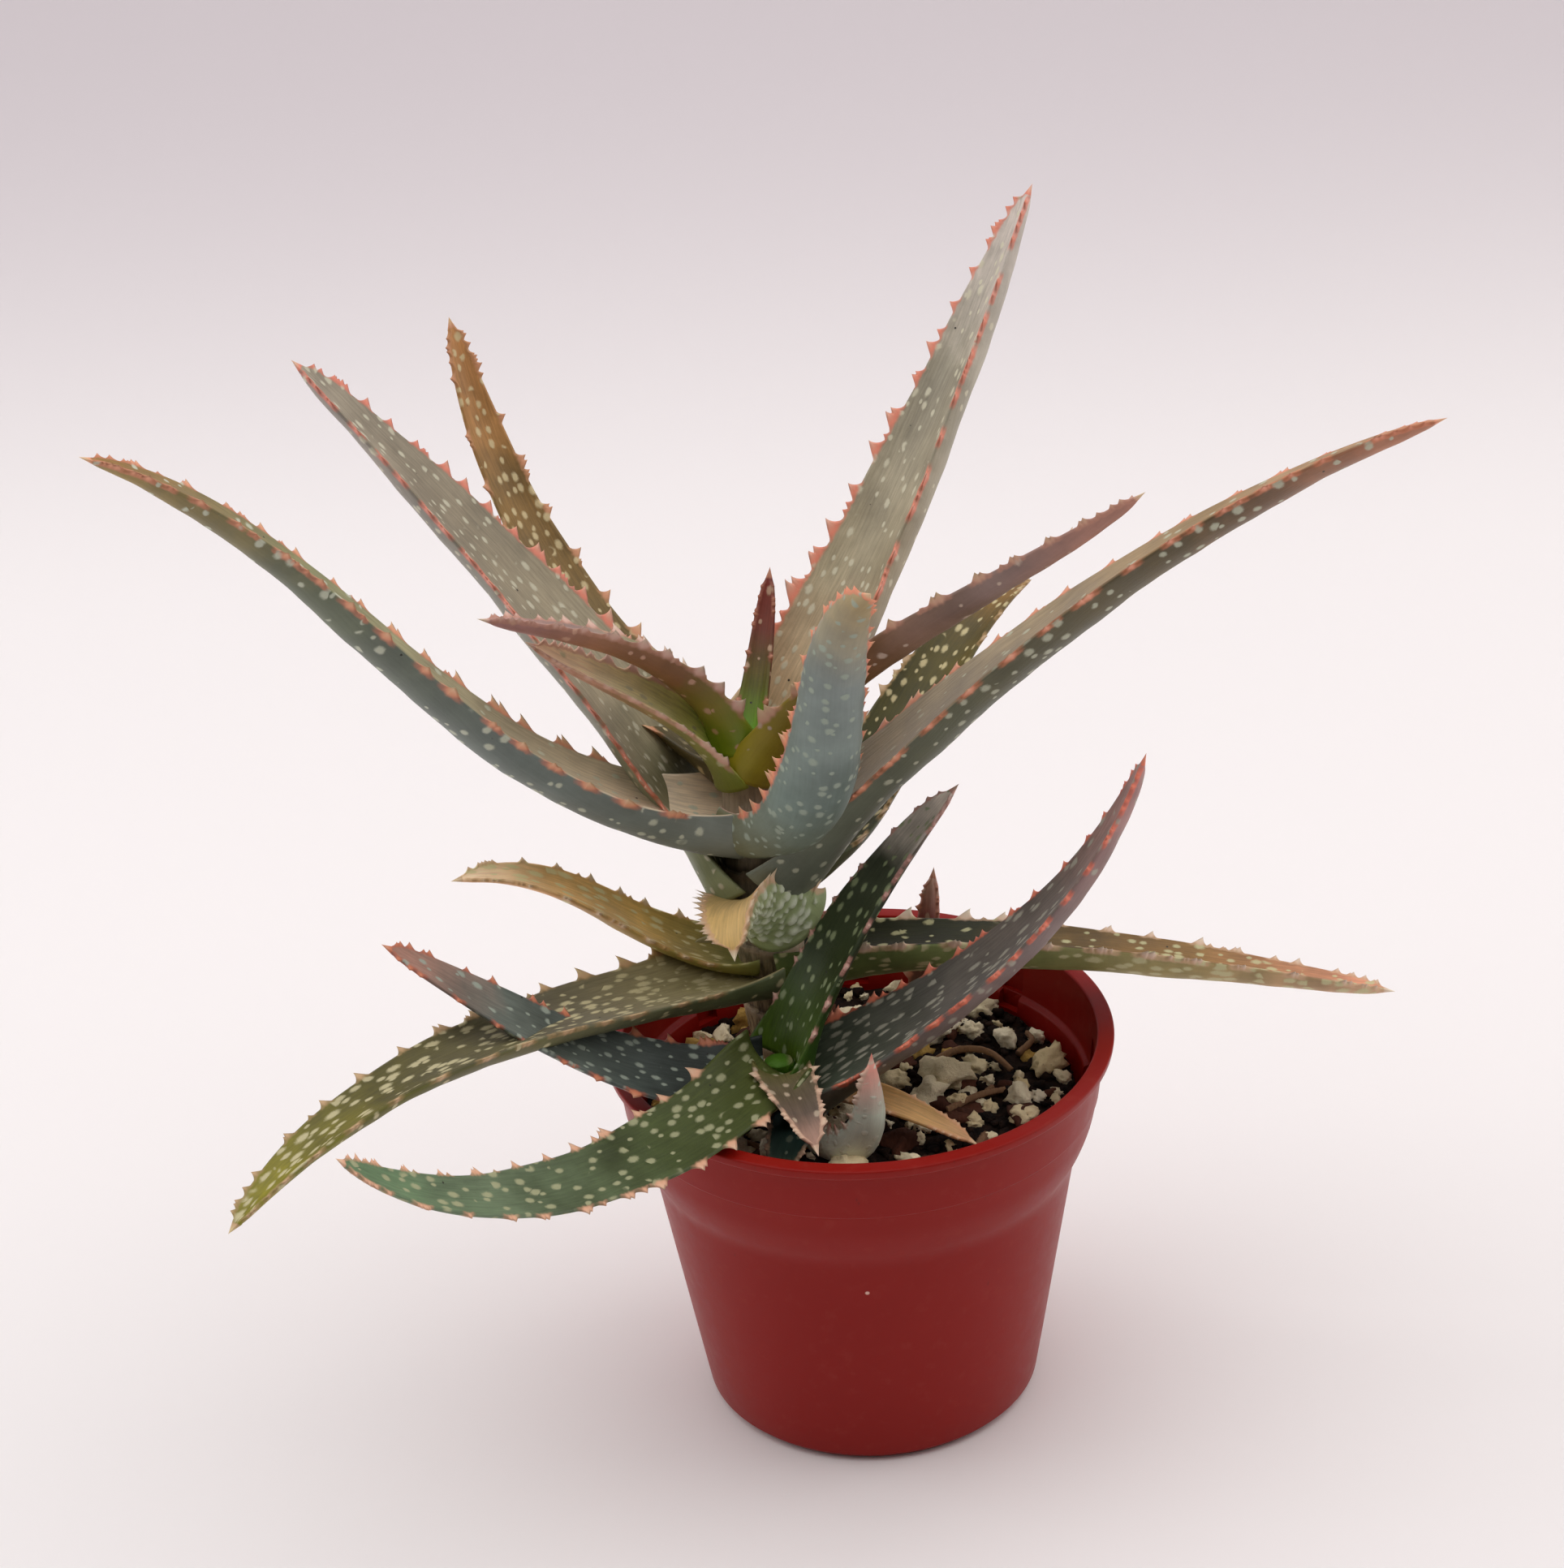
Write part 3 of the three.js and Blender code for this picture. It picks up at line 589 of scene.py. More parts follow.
def centre_at(leaf, share):
    """Points of the centreline, carried straight on beyond the tip."""
    steps = (np.arange(CENTRELINE_STEPS) + 0.5) / CENTRELINE_STEPS
    moves = leaf_axes(leaf, steps)[0] * leaf.length / CENTRELINE_STEPS
    line = np.vstack([np.zeros(3), np.cumsum(moves, axis=0)]) + np.array(leaf.foot)
    marks = np.arange(CENTRELINE_STEPS + 1) / CENTRELINE_STEPS
    centre = np.stack([np.interp(share, marks, line[:, k]) for k in range(3)], -1)
    beyond = np.maximum(share - 1.0, 0.0) * leaf.length
    return centre + leaf_axes(leaf, share)[0] * beyond[:, None]


def spine_share(leaf, share):
    """1 along the blade, falling to nearly 0 at the point of the end spine."""
    return np.clip(1 - (share - 1) * leaf.length / SPINE_LENGTH, SPINE_POINT, 1.0)


def blade_at(leaf, share):
    """Width, half arch and thickness of the blade at shares of the length."""
    clasp = np.maximum(0, 1 - share / CLASP_SHARE) ** 2
    swell = 1 + SWELL * np.maximum(0, 1 - share / SWELL_SHARE) ** 2
    left = np.maximum(BLUNTEST_TIP, 1 - share)
    spine = spine_share(leaf, share)
    width = leaf.width * left**TAPER * swell * spine
    arch = np.radians(leaf.arch + (CLASP_ARCH - leaf.arch) * clasp)
    fullness = (leaf.thickness - MARGIN_THICKNESS) * np.maximum(0, 1 - share) ** THINNING
    return width, arch, (MARGIN_THICKNESS + fullness) * spine


Tooth = namedtuple("Tooth", "margin share size half_base")


def seeded(seed):
    """The frame's own random numbers, so that the teeth stand where its teeth are."""
    state = seed
    while True:
        state = (state * 1664525 + 1013904223) % 2**32
        yield state / 2**32


def drawn(random, least, spread):
    return least + spread * next(random)


def growth_of(leaf):
    """How much longer this leaf's fine teeth are than those of the frame."""
    return PUP_TOOTH_GROWTH if leaf.name.startswith("pup") else TOOTH_GROWTH


def teeth_of(leaf):
    """Teeth of the frame, with twin points, smaller teeth between them and some at the tip."""
    random = seeded(math.floor(leaf.azimuth * 7 + leaf.length * 13 + 0.5))
    span = TOOTH_END - TOOTH_START
    room = TOOTH_ROOM * span * leaf.length / leaf.teeth

    def tooth(margin, share, size):
        return Tooth(margin, share, size, min(room, TOOTH_BASE[0] + TOOTH_BASE[1] * size))

    teeth = []
    for margin in (-1, 1):
        for i in range(leaf.teeth):
            share = TOOTH_START + span * (i + TOOTH_PLACE + TOOTH_JITTER * next(random)) / leaf.teeth
            size = leaf.tooth * drawn(random, *TOOTH_SIZES) * (1 - TOOTH_SHRINK * share)
            teeth.append(tooth(margin, share, size * growth_of(leaf)))
    for margin in (-1, 1):
        for distance, size in TIP_TEETH:
            share = 1 - (distance + TIP_JITTER * next(random)) / leaf.length
            teeth.append(tooth(margin, share, leaf.tooth * size * drawn(random, *TOOTH_SIZES)))
        for i in range(round(leaf.teeth * SMALL_TEETH)):
            share = TOOTH_START + span * next(random)
            teeth.append(tooth(margin, share, leaf.tooth * drawn(random, *SMALL_SIZES)))
    twins = []
    for main in teeth:
        chance = next(random)
        if chance < TWIN_SHARE:
            side = 1 if next(random) > 0.5 else -1
            shift = (TWIN_SHIFT[0] + TWIN_SHIFT[1] * chance) * main.half_base * side
            share = main.share + shift / leaf.length
            twins.append(tooth(main.margin, share, main.size * (TWIN_SIZE + chance)))
    return teeth + twins


def ring_shares(leaf, teeth):
    """Even rings, with closer ones round every tooth so that its point is sharp."""
    points = [t.share for t in teeth]
    near = [t.share + offset * t.half_base / leaf.length for t in teeth for offset in TOOTH_SAMPLES]
    even = list(np.linspace(0, 1, int(leaf.length / RING_STEP) + 2))
    spine = [1 + SPINE_LENGTH / leaf.length * part for part in SPINE_SAMPLES]
    kept = np.array([0.0, 1.0] + spine)
    for share in points + near + even:
        if np.min(np.abs(kept - share)) * leaf.length > CLOSEST_RINGS and 0 < share < 1:
            kept = np.append(kept, share)
    return np.sort(kept)


def tooth_heights(leaf, teeth, share, margin):
    """Height of the horny margin above the blade's edge at each ring."""
    height = np.zeros_like(share)
    for tooth in teeth:
        if tooth.margin == margin:
            away = np.abs(share - tooth.share) * leaf.length / tooth.half_base
            height = np.maximum(height, tooth.size * np.clip(1 - away, 0, 1) ** TOOTH_SHARPNESS)
    return height


def tooth_patches(leaf, teeth, share, from_edge, across):
    """1 at the base of a tooth, 0 at the outline of its coloured patch."""
    field = np.full(across.shape, -1.0)
    for tooth in teeth:
        along = PATCH_ALONG[0] + PATCH_ALONG[1] * tooth.size
        inward = PATCH_INWARD[0] + PATCH_INWARD[1] * tooth.size
        away = (share[:, None] - tooth.share) * leaf.length / along
        patch = 1 - np.sqrt(away**2 + (from_edge / inward) ** 2)
        field = np.where(across * tooth.margin > 0, np.maximum(field, patch), field)
    return field


def apart(wart, other):
    """Whether two warts stand clear of each other, along the blade or across it."""
    return any(abs(wart[k] - other[k]) > WART_GAP * (wart[k + 2] + other[k + 2]) for k in (0, 1))


def scatter(leaf, marks, random):
    """Places and half sizes of warts in millimetres along and across the lower face."""
    density, half_length, half_width, _ = marks
    count = int(density * leaf.length * leaf.width * BLADE_FILL / SQUARE_CENTIMETRE)
    warts = []
    for _ in range(count * WART_TRIES):
        if len(warts) >= count:
            break
        along = leaf.length * random.uniform(*WART_STRETCH)
        half = leaf.width / 2 * (1 - along / leaf.length) ** TAPER - WART_INSET
        across = random.uniform(-1, 1) * max(half, 0)
        size = random.uniform(*WART_SIZES) * (1 - WART_SHRINK * along / leaf.length)
        wart = (along, across, half_length * size, half_width * size)
        if all(apart(wart, other) for other in warts):
            warts.append(wart)
    return warts


def wart_field(warts, along, across):
    """1 at the middle of a wart, 0 at its outline and -1 well away from any."""
    field = np.full(across.shape, -1.0)
    for place, offset, half_length, half_width in warts:
        first, last = np.searchsorted(along, (place - 2 * half_length, place + 2 * half_length))
        down = (along[first:last, None] - place) / half_length
        over = (across[first:last] - offset) / half_width
        field[first:last] = np.maximum(field[first:last], 1 - np.sqrt(down**2 + over**2))
    return field


def ripple(along, across, random):
    """A gentle unevenness of the fleshy blade."""
    total = np.zeros(np.broadcast(along, across).shape)
    for length in RIPPLES:
        phase = random.uniform(0, 2 * math.pi)
        slant = random.uniform(-RIPPLE_SLANT, RIPPLE_SLANT)
        total += length * np.sin(2 * math.pi * (along / length + slant * across / 4) + phase)
    return RIPPLE_SIZE * total / RIPPLES[0]


def smooth_step(value, low, high):
    part = np.clip((value - low) / (high - low), 0, 1)
    return part * part * (3 - 2 * part)


def places_across(leaf):
    """Places round a ring, -1 to 1 across: upper face, edge, lower face and edge."""
    closer = WARTY_SHARE if LOOKS[leaf.name].marks_under[3] else 1.0
    count = max(FEWEST_ACROSS, round(leaf.width * ARC_ALLOWANCE / (ACROSS_STEP * closer)))
    even = np.linspace(-1, 1, count)
    places = np.sin(even * math.pi / 2 * EDGE_CROWDING) / math.sin(math.pi / 2 * EDGE_CROWDING)
    across = np.concatenate([places, [1], places[::-1], [-1]])
    is_edge = np.zeros(len(across), bool)
    is_edge[[count, 2 * count + 1]] = True
    is_lower = np.zeros(len(across), bool)
    is_lower[count + 1 : 2 * count + 1] = True
    return across, is_edge, is_lower


def leaf_points(leaf):
    """The points of a leaf, ring by ring, with the values that its skin reads."""
    random = np.random.RandomState(round(leaf.azimuth * 7 + leaf.length * 13))
    teeth = teeth_of(leaf)
    share = ring_shares(leaf, teeth)
    across, is_edge, is_lower = places_across(leaf)

    # The crescent section, first its upper face and then what lies below it
    along, side, face = leaf_axes(leaf, share)
    width, arch, thickness = blade_at(leaf, share)
    down = share * leaf.length
    width = width * (1 + WAVE_SIZE * np.sin(down / WAVE_LENGTH + random.uniform(0, 6)))
    spine = spine_share(leaf, share)[:, None]
    radius = (width / (2 * arch))[:, None]
    arch = arch[:, None]
    angle = across * arch
    centring = (thickness[:, None] - radius * (1 - np.cos(arch))) / 2
    side, face, along = side[:, None, :], face[:, None, :], along[:, None, :]
    sine, cosine = np.sin(angle)[..., None], np.cos(angle)[..., None]
    points = centre_at(leaf, share)[:, None, :] + side * radius[..., None] * sine
    points = points + face * (centring + radius * (1 - np.cos(angle)))[..., None]
    inward = face * cosine - side * sine
    sideways = (side * cosine + face * sine) * np.sign(across)[:, None]
    margin = MARGIN_THICKNESS * spine
    belly = (thickness[:, None] - margin) * (1 - across**2)
    depth = np.where(is_lower, margin + belly, 0) + np.where(is_edge, margin / 2, 0)
    points -= inward * depth[..., None]
    points += sideways * (is_edge * EDGE_ROUND * spine)[..., None]

    # The teeth, which lean towards the tip and pull up the skin beside them
    over = across * width[:, None] / 2
    from_edge = (1 - np.abs(across)) * width[:, None] / 2
    heights = [tooth_heights(leaf, teeth, share, m)[:, None] for m in (-1, 1)]
    height = np.where(across < 0, heights[0], heights[1])
    pull = SKIN_PULL * np.clip(1 - from_edge / SKIN_PULL_REACH, 0, 1) ** 2
    reach = height * np.where(is_edge, 1.0, pull)
    full = leaf.tooth * growth_of(leaf)
    points += sideways * reach[..., None] + along * (TOOTH_LEAN * reach * height / full)[..., None]
    pinch = TOOTH_PINCH * np.clip(reach, 0, 1) * np.where(is_edge, 0, np.where(is_lower, 1, -1))
    points += inward * pinch[..., None]

    # Warts and ripples
    marks = LOOKS[leaf.name].marks_under
    field = np.full(over.shape, -1.0)
    if marks[3]:
        field = np.where(is_lower, wart_field(scatter(leaf, marks, random), down, over), -1.0)
    calm = np.clip(from_edge / RIPPLE_MARGIN, 0, 1)
    raised = -marks[3] * smooth_step(field, *WART_SLOPE)
    raised = raised + calm * ripple(down[:, None], over, random) * np.where(is_lower, -1, 1)
    points += inward * raised[..., None]

    # What the skin reads
    horn = reach / (FULL_HORN * full)
    spine_horn = (share - 1)[:, None] * leaf.length / SPINE_LENGTH * SPINE_HORN
    horn = np.maximum(horn, np.clip(spine_horn, 0, 1))
    whole = np.ones_like(angle)
    patches = tooth_patches(leaf, teeth, share, from_edge, whole * across)
    facing = np.where(is_lower, 0.0, np.where(is_edge, 0.5, 1.0))
    layer = whole * (FACE_SHIFT * facing + leaf.azimuth)
    values = {
        "leaf_place": np.stack([whole * share[:, None], whole * across, whole * facing], -1),
        "leaf_marks": np.stack([field, horn, patches], -1),
        "leaf_grain": np.stack([whole * down[:, None], over, layer], -1),
    }
    return points, values


def numbered_from(first, faces):
    """Faces whose points are numbered on from this one."""
    return [[first + k for k in face] for face in faces]


def ring_faces(rings, sides):
    """Quads between rings that run round one after the other."""
    i = np.arange(rings - 1)[:, None] * sides
    k = np.arange(sides)[None, :]
    after = (k + 1) % sides
    quads = np.stack([i + k, i + after, i + sides + after, i + sides + k], -1)
    return quads.reshape(-1, 4).tolist()


def closed_faces(rings, sides):
    """Quads between rings, and a flat face over each end."""
    last = (rings - 1) * sides
    return ring_faces(rings, sides) + [list(range(sides)), list(range(last, last + sides))]


def strip_cap(first, sides, turned):
    """Closes a leaf's end ring by strips from the upper to the lower face."""
    half = (sides - 2) // 2
    faces = [[k, k + 1, 2 * half - k - 1, 2 * half - k] for k in range(half - 1)]
    faces += [[half - 1, half, half + 1], [0, 2 * half, 2 * half + 1]]
    return numbered_from(first, [face[::-1] if turned else face for face in faces])


def mesh_object(name, points, faces, values=None):
    """A piece from points in millimetres, turned so that its faces look outwards."""
    mesh = bpy.data.meshes.new(name)
    mesh.from_pydata((np.asarray(points) * MM).tolist(), [], faces)
    for key, value in (values or {}).items():
        layer = mesh.attributes.new(key, "FLOAT_VECTOR", "POINT")
        layer.data.foreach_set("vector", np.asarray(value, np.float32).ravel())
    work = bmesh.new()
    work.from_mesh(mesh)
    bmesh.ops.recalc_face_normals(work, faces=work.faces)
    if work.calc_volume(signed=True) < 0:
        bmesh.ops.reverse_faces(work, faces=work.faces)
    work.to_mesh(mesh)
    work.free()
    mesh.polygons.foreach_set("use_smooth", [True] * len(mesh.polygons))
    piece = bpy.data.objects.new(name, mesh)
    bpy.context.scene.collection.objects.link(piece)
    return piece


def finished(piece, material, slot, *nodes):
    """Gives a piece its material, its place on the root body and the nodes it stands for."""
    if material:
        piece.data.materials.append(material)
    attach(piece, "root")
    if nodes:
        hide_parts(*nodes)
    return piece


def make_leaf(leaf):
    points, values = leaf_points(leaf)
    rings, sides = points.shape[:2]
    faces = ring_faces(rings, sides)
    faces += strip_cap(0, sides, False) + strip_cap((rings - 1) * sides, sides, True)
    flat = {key: value.reshape(-1, 3) for key, value in values.items()}
    piece = mesh_object("fine_" + leaf.name, points.reshape(-1, 3), faces, flat)
    slot = "dry_leaf" if leaf.name in DRY else "leaf"
    return finished(piece, leaf_material(leaf), slot, leaf.name)


# Pot: profiles of radius, height and rounding of each corner (mm)
POT_SIDES = 192
POT_HEIGHT = 67.2
POT_FLOOR_TOP = 2.2
POT_OUTSIDE = [
    (0.4, 0.0, 0), (27.2, 0.0, 1.0), (28.45, 1.5, 0.8), (28.7, 1.62, 0.3), (30.1, 10.0, 0),
    (35.85, 45.4, 1.6), (37.4, 48.4, 2.0), (38.9, 52.4, 2.4), (39.65, 56.7, 0.3), (39.85, 56.9, 0.3),
    (40.5, 62.0, 0), (40.9, 65.2, 0.3), (42.3, 65.6, 0.4), (42.5, POT_HEIGHT, 0.45),
]
POT_INSIDE = [
    (39.6, POT_HEIGHT, 0.4), (38.7, 57.4, 0.35), (37.7, 57.0, 0.4), (36.8, 52.5, 1.5),
    (34.6, 46.0, 2.0), (28.6, 9.0, 3.0), (27.0, POT_FLOOR_TOP, 2.0), (0.4, POT_FLOOR_TOP, 0),
]
CORNER_STEPS = 4
CORNER_LIMIT = 0.45
LONGEST_STRAIGHT = 3.0
POT_CREASE = 38
LUG_SLOTS = 8
LUG_SLOT_WIDTH = 4.4
LEDGE_NOTCH = (36.4, 38.6, 54.6, 58.0)
COLLAR_POCKET = (37.5, 39.25, 57.8, 62.6)
DRAIN_HOLES = 6
DRAIN_HOLE_RADIUS = 3.0
DRAIN_HOLE_CIRCLE = 19.0
DRAIN_HOLE_SIDES = 32
BOX_FACES = ((0, 1, 3, 2), (4, 5, 7, 6), (0, 1, 5, 4), (2, 3, 7, 6), (0, 2, 6, 4), (1, 3, 7, 5))
# Red plastic: pale flecks (scale, share of empty cells, and where their edge starts
# and ends), roughness and how far it varies
POT_FLECKS = (0.09, 0.82, 0.03, 0.045)
POT_ROUGHNESS = 0.38
POT_ROUGHNESS_RANGE = 0.22


def rounded(profile):
    """A profile with its corners rounded."""
    places = np.array([p[:2] for p in profile], float)
    line = [places[0]]
    for i in range(1, len(profile) - 1):
        corner, rounding = places[i], profile[i][2]
        before, after = places[i - 1] - corner, places[i + 1] - corner
        room = [np.linalg.norm(side) * CORNER_LIMIT for side in (before, after)]
        reach = min(rounding, *room)
        start = corner + before / np.linalg.norm(before) * reach
        end = corner + after / np.linalg.norm(after) * reach
        for part in np.linspace(0, 1, CORNER_STEPS + 1) if rounding else [0.5]:
            bend = start * (1 - part) ** 2 + corner * 2 * part * (1 - part) + end * part**2
            line.append(bend)
    line.append(places[-1])
    return line


def divided(line):
    """A line with its long straights divided."""
    dense = [line[0]]
    for a, b in zip(line, line[1:]):
        pieces = max(1, int(np.linalg.norm(b - a) / LONGEST_STRAIGHT))
        dense += [a + (b - a) * (j + 1) / pieces for j in range(pieces)]
    return dense


def ring_of(radius, height, sides):
    angle = 2 * math.pi * np.arange(sides) / sides
    return np.stack([radius * np.cos(angle), radius * np.sin(angle), np.full(sides, height)], -1)


def cut(piece, cutter):
    """Cuts one mesh from another and removes the cutter."""
    modifier = piece.modifiers.new("cut", "BOOLEAN")
    modifier.operation = "DIFFERENCE"
    modifier.solver = "EXACT"
    modifier.object = cutter
    graph = bpy.context.evaluated_depsgraph_get()
    mesh = bpy.data.meshes.new_from_object(piece.evaluated_get(graph))
    piece.modifiers.clear()
    piece.data = mesh
    bpy.data.objects.remove(cutter)


def slot_cutters(name, box):
    """A ring of boxes, from their inner and outer radius, bottom and top. The faces that they cut get a
    near-black painted shade.
    """
    inner, outer, bottom, top = box
    points, faces = [], []
    for i in range(LUG_SLOTS):
        turn = Matrix.Rotation(2 * math.pi * i / LUG_SLOTS, 3, "Z")
        faces += numbered_from(len(points), BOX_FACES)
        for radius in (inner, outer):
            for across in (-LUG_SLOT_WIDTH / 2, LUG_SLOT_WIDTH / 2):
                for height in (bottom, top):
                    points.append(tuple(turn @ Vector((radius, across, height))))
    cutter = mesh_object(name, points, faces)
    # Painted shade: this near-black material passes to the faces cut into the pot
    cutter.data.materials.append(slot_shade_material())
    return cutter


# Painted shade: near-black maroon for the inside of the cut slots, standing in for the shade in them
def slot_shade_material():
    material, tree, shader = new_material("slot_painted_shade", 0.8, 0.1)
    shade = noise_texture(tree, object_place(tree), 0.6)
    put(tree, shader.inputs["Base Color"], mixed(tree, shade, "120404", "2c0c0a"))
    return material


def drain_cutters():
    points, faces = [], []
    for i in range(DRAIN_HOLES):
        angle = 2 * math.pi * (i + 0.5) / DRAIN_HOLES
        middle = np.array([math.cos(angle), math.sin(angle), 0]) * DRAIN_HOLE_CIRCLE
        faces += numbered_from(len(points), closed_faces(2, DRAIN_HOLE_SIDES))
        for height in (-1, POT_FLOOR_TOP + 1):
            points += [tuple(p + middle) for p in ring_of(DRAIN_HOLE_RADIUS, height, DRAIN_HOLE_SIDES)]
    return mesh_object("drain_cutters", points, faces)


def pot_material():
    """Satin red plastic with a pale haze, flecks and dark scuffs."""
    material, tree, shader = new_material("satin_red_plastic", POT_ROUGHNESS, 0.16)
    place = object_place(tree)
    cloud = noise_texture(tree, place, 0.035)
    haze = noise_texture(tree, place, 0.35, 5.0, 0.65)
    grit = noise_texture(tree, place, 3.2, 3.0, 0.7)
    scuffs = noise_texture(tree, stretched(tree, place, (1.4, 1.4, 0.16)), 1.0, 4.0, 0.7)
    colour = mixed(tree, cloud, "880e06", "921810")
    colour = overlaid(tree, colour, haze, (0.52, 0.75), 0.18, "a8483a")
    colour = mixed(tree, dots(tree, place, *POT_FLECKS), colour, "e0b8a8")
    colour = overlaid(tree, colour, scuffs, (0.68, 0.74), 0.7, "4a1813")
    put(tree, shader.inputs["Roughness"], varied(tree, POT_ROUGHNESS, haze, POT_ROUGHNESS_RANGE))
    coat(tree, shader, colour, varied(tree, centred(tree, grit, 0.5), haze, 0.5), 0.25, 0.05)
    return material


def make_pot():
    profile = divided(rounded(POT_OUTSIDE + POT_INSIDE))
    rings = [ring_of(radius, height, POT_SIDES) for radius, height in profile]
    piece = mesh_object("fine_pot", np.vstack(rings), closed_faces(len(rings), POT_SIDES))
    piece.data.materials.append(pot_material())
    cut(piece, slot_cutters("notch_cutters", LEDGE_NOTCH))
    cut(piece, slot_cutters("pocket_cutters", COLLAR_POCKET))
    cut(piece, drain_cutters())
    piece.data.polygons.foreach_set("use_smooth", [True] * len(piece.data.polygons))
    piece.data.set_sharp_from_angle(angle=math.radians(POT_CREASE))
    return finished(piece, None, "pot", "pot")


# Soil: peat with mineral grains, bark and twigs on top (mm). The peat has lumps
# and crumbs of two sizes and heights, and falls towards the rim.
SOIL_TOP = 55.3
SOIL_REACH = 36.2
SOIL_SIDES = 220
SOIL_RINGS = 74
SOIL_BOTTOM = POT_FLOOR_TOP + 0.3
SOIL_UNDERSIDE = ((35.9, 52.0), (34.2, 46.0), (28.2, 9.0), (26.6, SOIL_BOTTOM), (0.5, SOIL_BOTTOM))
PEAT_RELIEF = 1.3
PEAT_LUMP = 7
FINE_RELIEF = 0.35
FINE_LUMP = 1.7
RIM_FALL = 1.1
RIM_START = 26
RIM_WIDTH = 10
# Grains: how many, sizes, the proportions that they are drawn between, and lift
# as a share of the size
GRAINS = 170
GRAIN_SEED = 21
GRAIN_TRIES = 6
GRAIN_SMALL = 0.9
GRAIN_LARGE = 3.6
GRAIN_FLAT = (0.95, 0.75, 0.65)
GRAIN_ROUND = (1.25, 1.0, 0.9)
GRAIN_LIFT = 0.28
# Share of ochre grains, and how many more of them stand left of a line (mm)
OCHRE_SHARE = 0.1
OCHRE_MORE = 0.35
OCHRE_LEFT = -14
# Broken lumps: depths of their flat faces, sharpness of the edges between those,
# what a radius is at least divided by, fineness of the crumbling, and turn and tilt
# (radians)
LUMP_DEPTHS = (0.62, 1.0)
LUMP_EDGES = 9
LUMP_DIVISOR = 0.75
LUMP_CRUMBLING = 2.3
LUMP_TURN = 6.28
LUMP_TILT = 0.6
# Small lumps strewn on the soil: sizes and distance from its edge (mm), lift as a
# share of the size and in mm, fineness, proportions and roughness
Strewn = namedtuple("Strewn", "seed count sizes inset lift_share lift detail stretch roughness")
CRUMBS = Strewn(5, 850, (0.35, 1.15), 0, 0.3, 0, 2, (1.2, 0.9, 0.7), 0.25)
BARK = Strewn(9, 55, (1.4, 3.4), 0.5, 0, 0.45, 3, (1.15, 0.7, 0.45), 0.22)


def soil_height(x, y):
    """Height of the peat's surface."""
    radius = math.hypot(x, y)
    edge = RIM_FALL * max(0.0, (radius - RIM_START) / RIM_WIDTH) ** 2
    coarse = turbulence.fractal(Vector((x / PEAT_LUMP, y / PEAT_LUMP, 3.1)), 0.9, 2.1, 5)
    fine = turbulence.fractal(Vector((x / FINE_LUMP, y / FINE_LUMP, 9.4)), 0.8, 2.2, 3)
    return SOIL_TOP - edge + PEAT_RELIEF * coarse + FINE_RELIEF * fine


def make_peat():
    rings = []
    for radius in np.linspace(0.3, SOIL_REACH, SOIL_RINGS):
        ring = ring_of(radius, 0.0, SOIL_SIDES)
        ring[:, 2] = [soil_height(x, y) for x, y in ring[:, :2]]
        rings.append(ring)
    rings += [ring_of(radius, height, SOIL_SIDES) for radius, height in SOIL_UNDERSIDE]
    piece = mesh_object("fine_peat", np.vstack(rings), closed_faces(len(rings), SOIL_SIDES))
    return finished(piece, peat_material("peat"), "soil", "soil")


def peat_material(name):
    material, tree, shader = new_material(name, 0.95, 0.2)
    place = object_place(tree)
    lumps = noise_texture(tree, place, 0.5, 5.0, 0.7)
    dust = noise_texture(tree, place, 2.6, 4.0, 0.75)
    colour = mixed(tree, step(tree, lumps, 0.35, 0.7), "0c0705", "2e1c12")
    colour = overlaid(tree, colour, dust, (0.62, 0.78), 0.4, "5e4632")
    coat(tree, shader, colour, varied(tree, centred(tree, lumps, 1.0), dust, 0.6), 0.9, 0.5)
    return material


def lump(random, subdivisions, size, stretch, planes, roughness):
    """One broken lump: flat faces with softened edges, then a crumbly surface."""
    work = bmesh.new()
    bmesh.ops.create_icosphere(work, subdivisions=subdivisions, radius=1.0)
    unit = np.array([v.co for v in work.verts])
    faces = [[v.index for v in f.verts] for f in work.faces]
    work.free()
    normals = random.normal(size=(planes, 3))
    normals /= np.linalg.norm(normals, axis=1)[:, None]
    depths = random.uniform(*LUMP_DEPTHS, planes)
    facing = np.clip(unit @ normals.T / depths, 0, None)
    radius = 1 / np.maximum(LUMP_DIVISOR, (facing**LUMP_EDGES).sum(1) ** (1 / LUMP_EDGES))
    seed = Vector(random.uniform(-50, 50, 3))
    rough = [turbulence.fractal(Vector(u) * LUMP_CRUMBLING + seed, 0.8, 2.2, 4) for u in unit]
    radius = radius * (1 + roughness * np.array(rough))
    points = unit * radius[:, None] * size * np.array(stretch)
    turn = Matrix.Rotation(random.uniform(0, LUMP_TURN), 3, "Z")
    tilt = Matrix.Rotation(random.uniform(-LUMP_TILT, LUMP_TILT), 3, "X")
    return points @ np.array(turn @ tilt).T, faces


def joined(name, parts):
    """One mesh from many (points, faces, tint) parts, each with its own tint."""
    points, faces, tints, first = [], [], [], 0
    for part_points, part_faces, tint in parts:
        points.append(part_points)
        faces += numbered_from(first, part_faces)
        tints.append(np.tile(tint, (len(part_points), 1)))
        first += len(part_points)
    return mesh_object(name, np.vstack(points), faces, {"tint": np.vstack(tints)})


def soil_spot(random, inset):
    """A random place on the soil, at least this far inside its edge."""
    reach = (SOIL_REACH - inset) * math.sqrt(random.uniform())
    angle = random.uniform(0, 2 * math.pi)
    return reach * math.cos(angle), reach * math.sin(angle)


def on_soil(points, x, y, lift):
    """Points moved to a place on the soil, and lifted from its surface."""
    return points + np.array([x, y, soil_height(x, y) + lift])


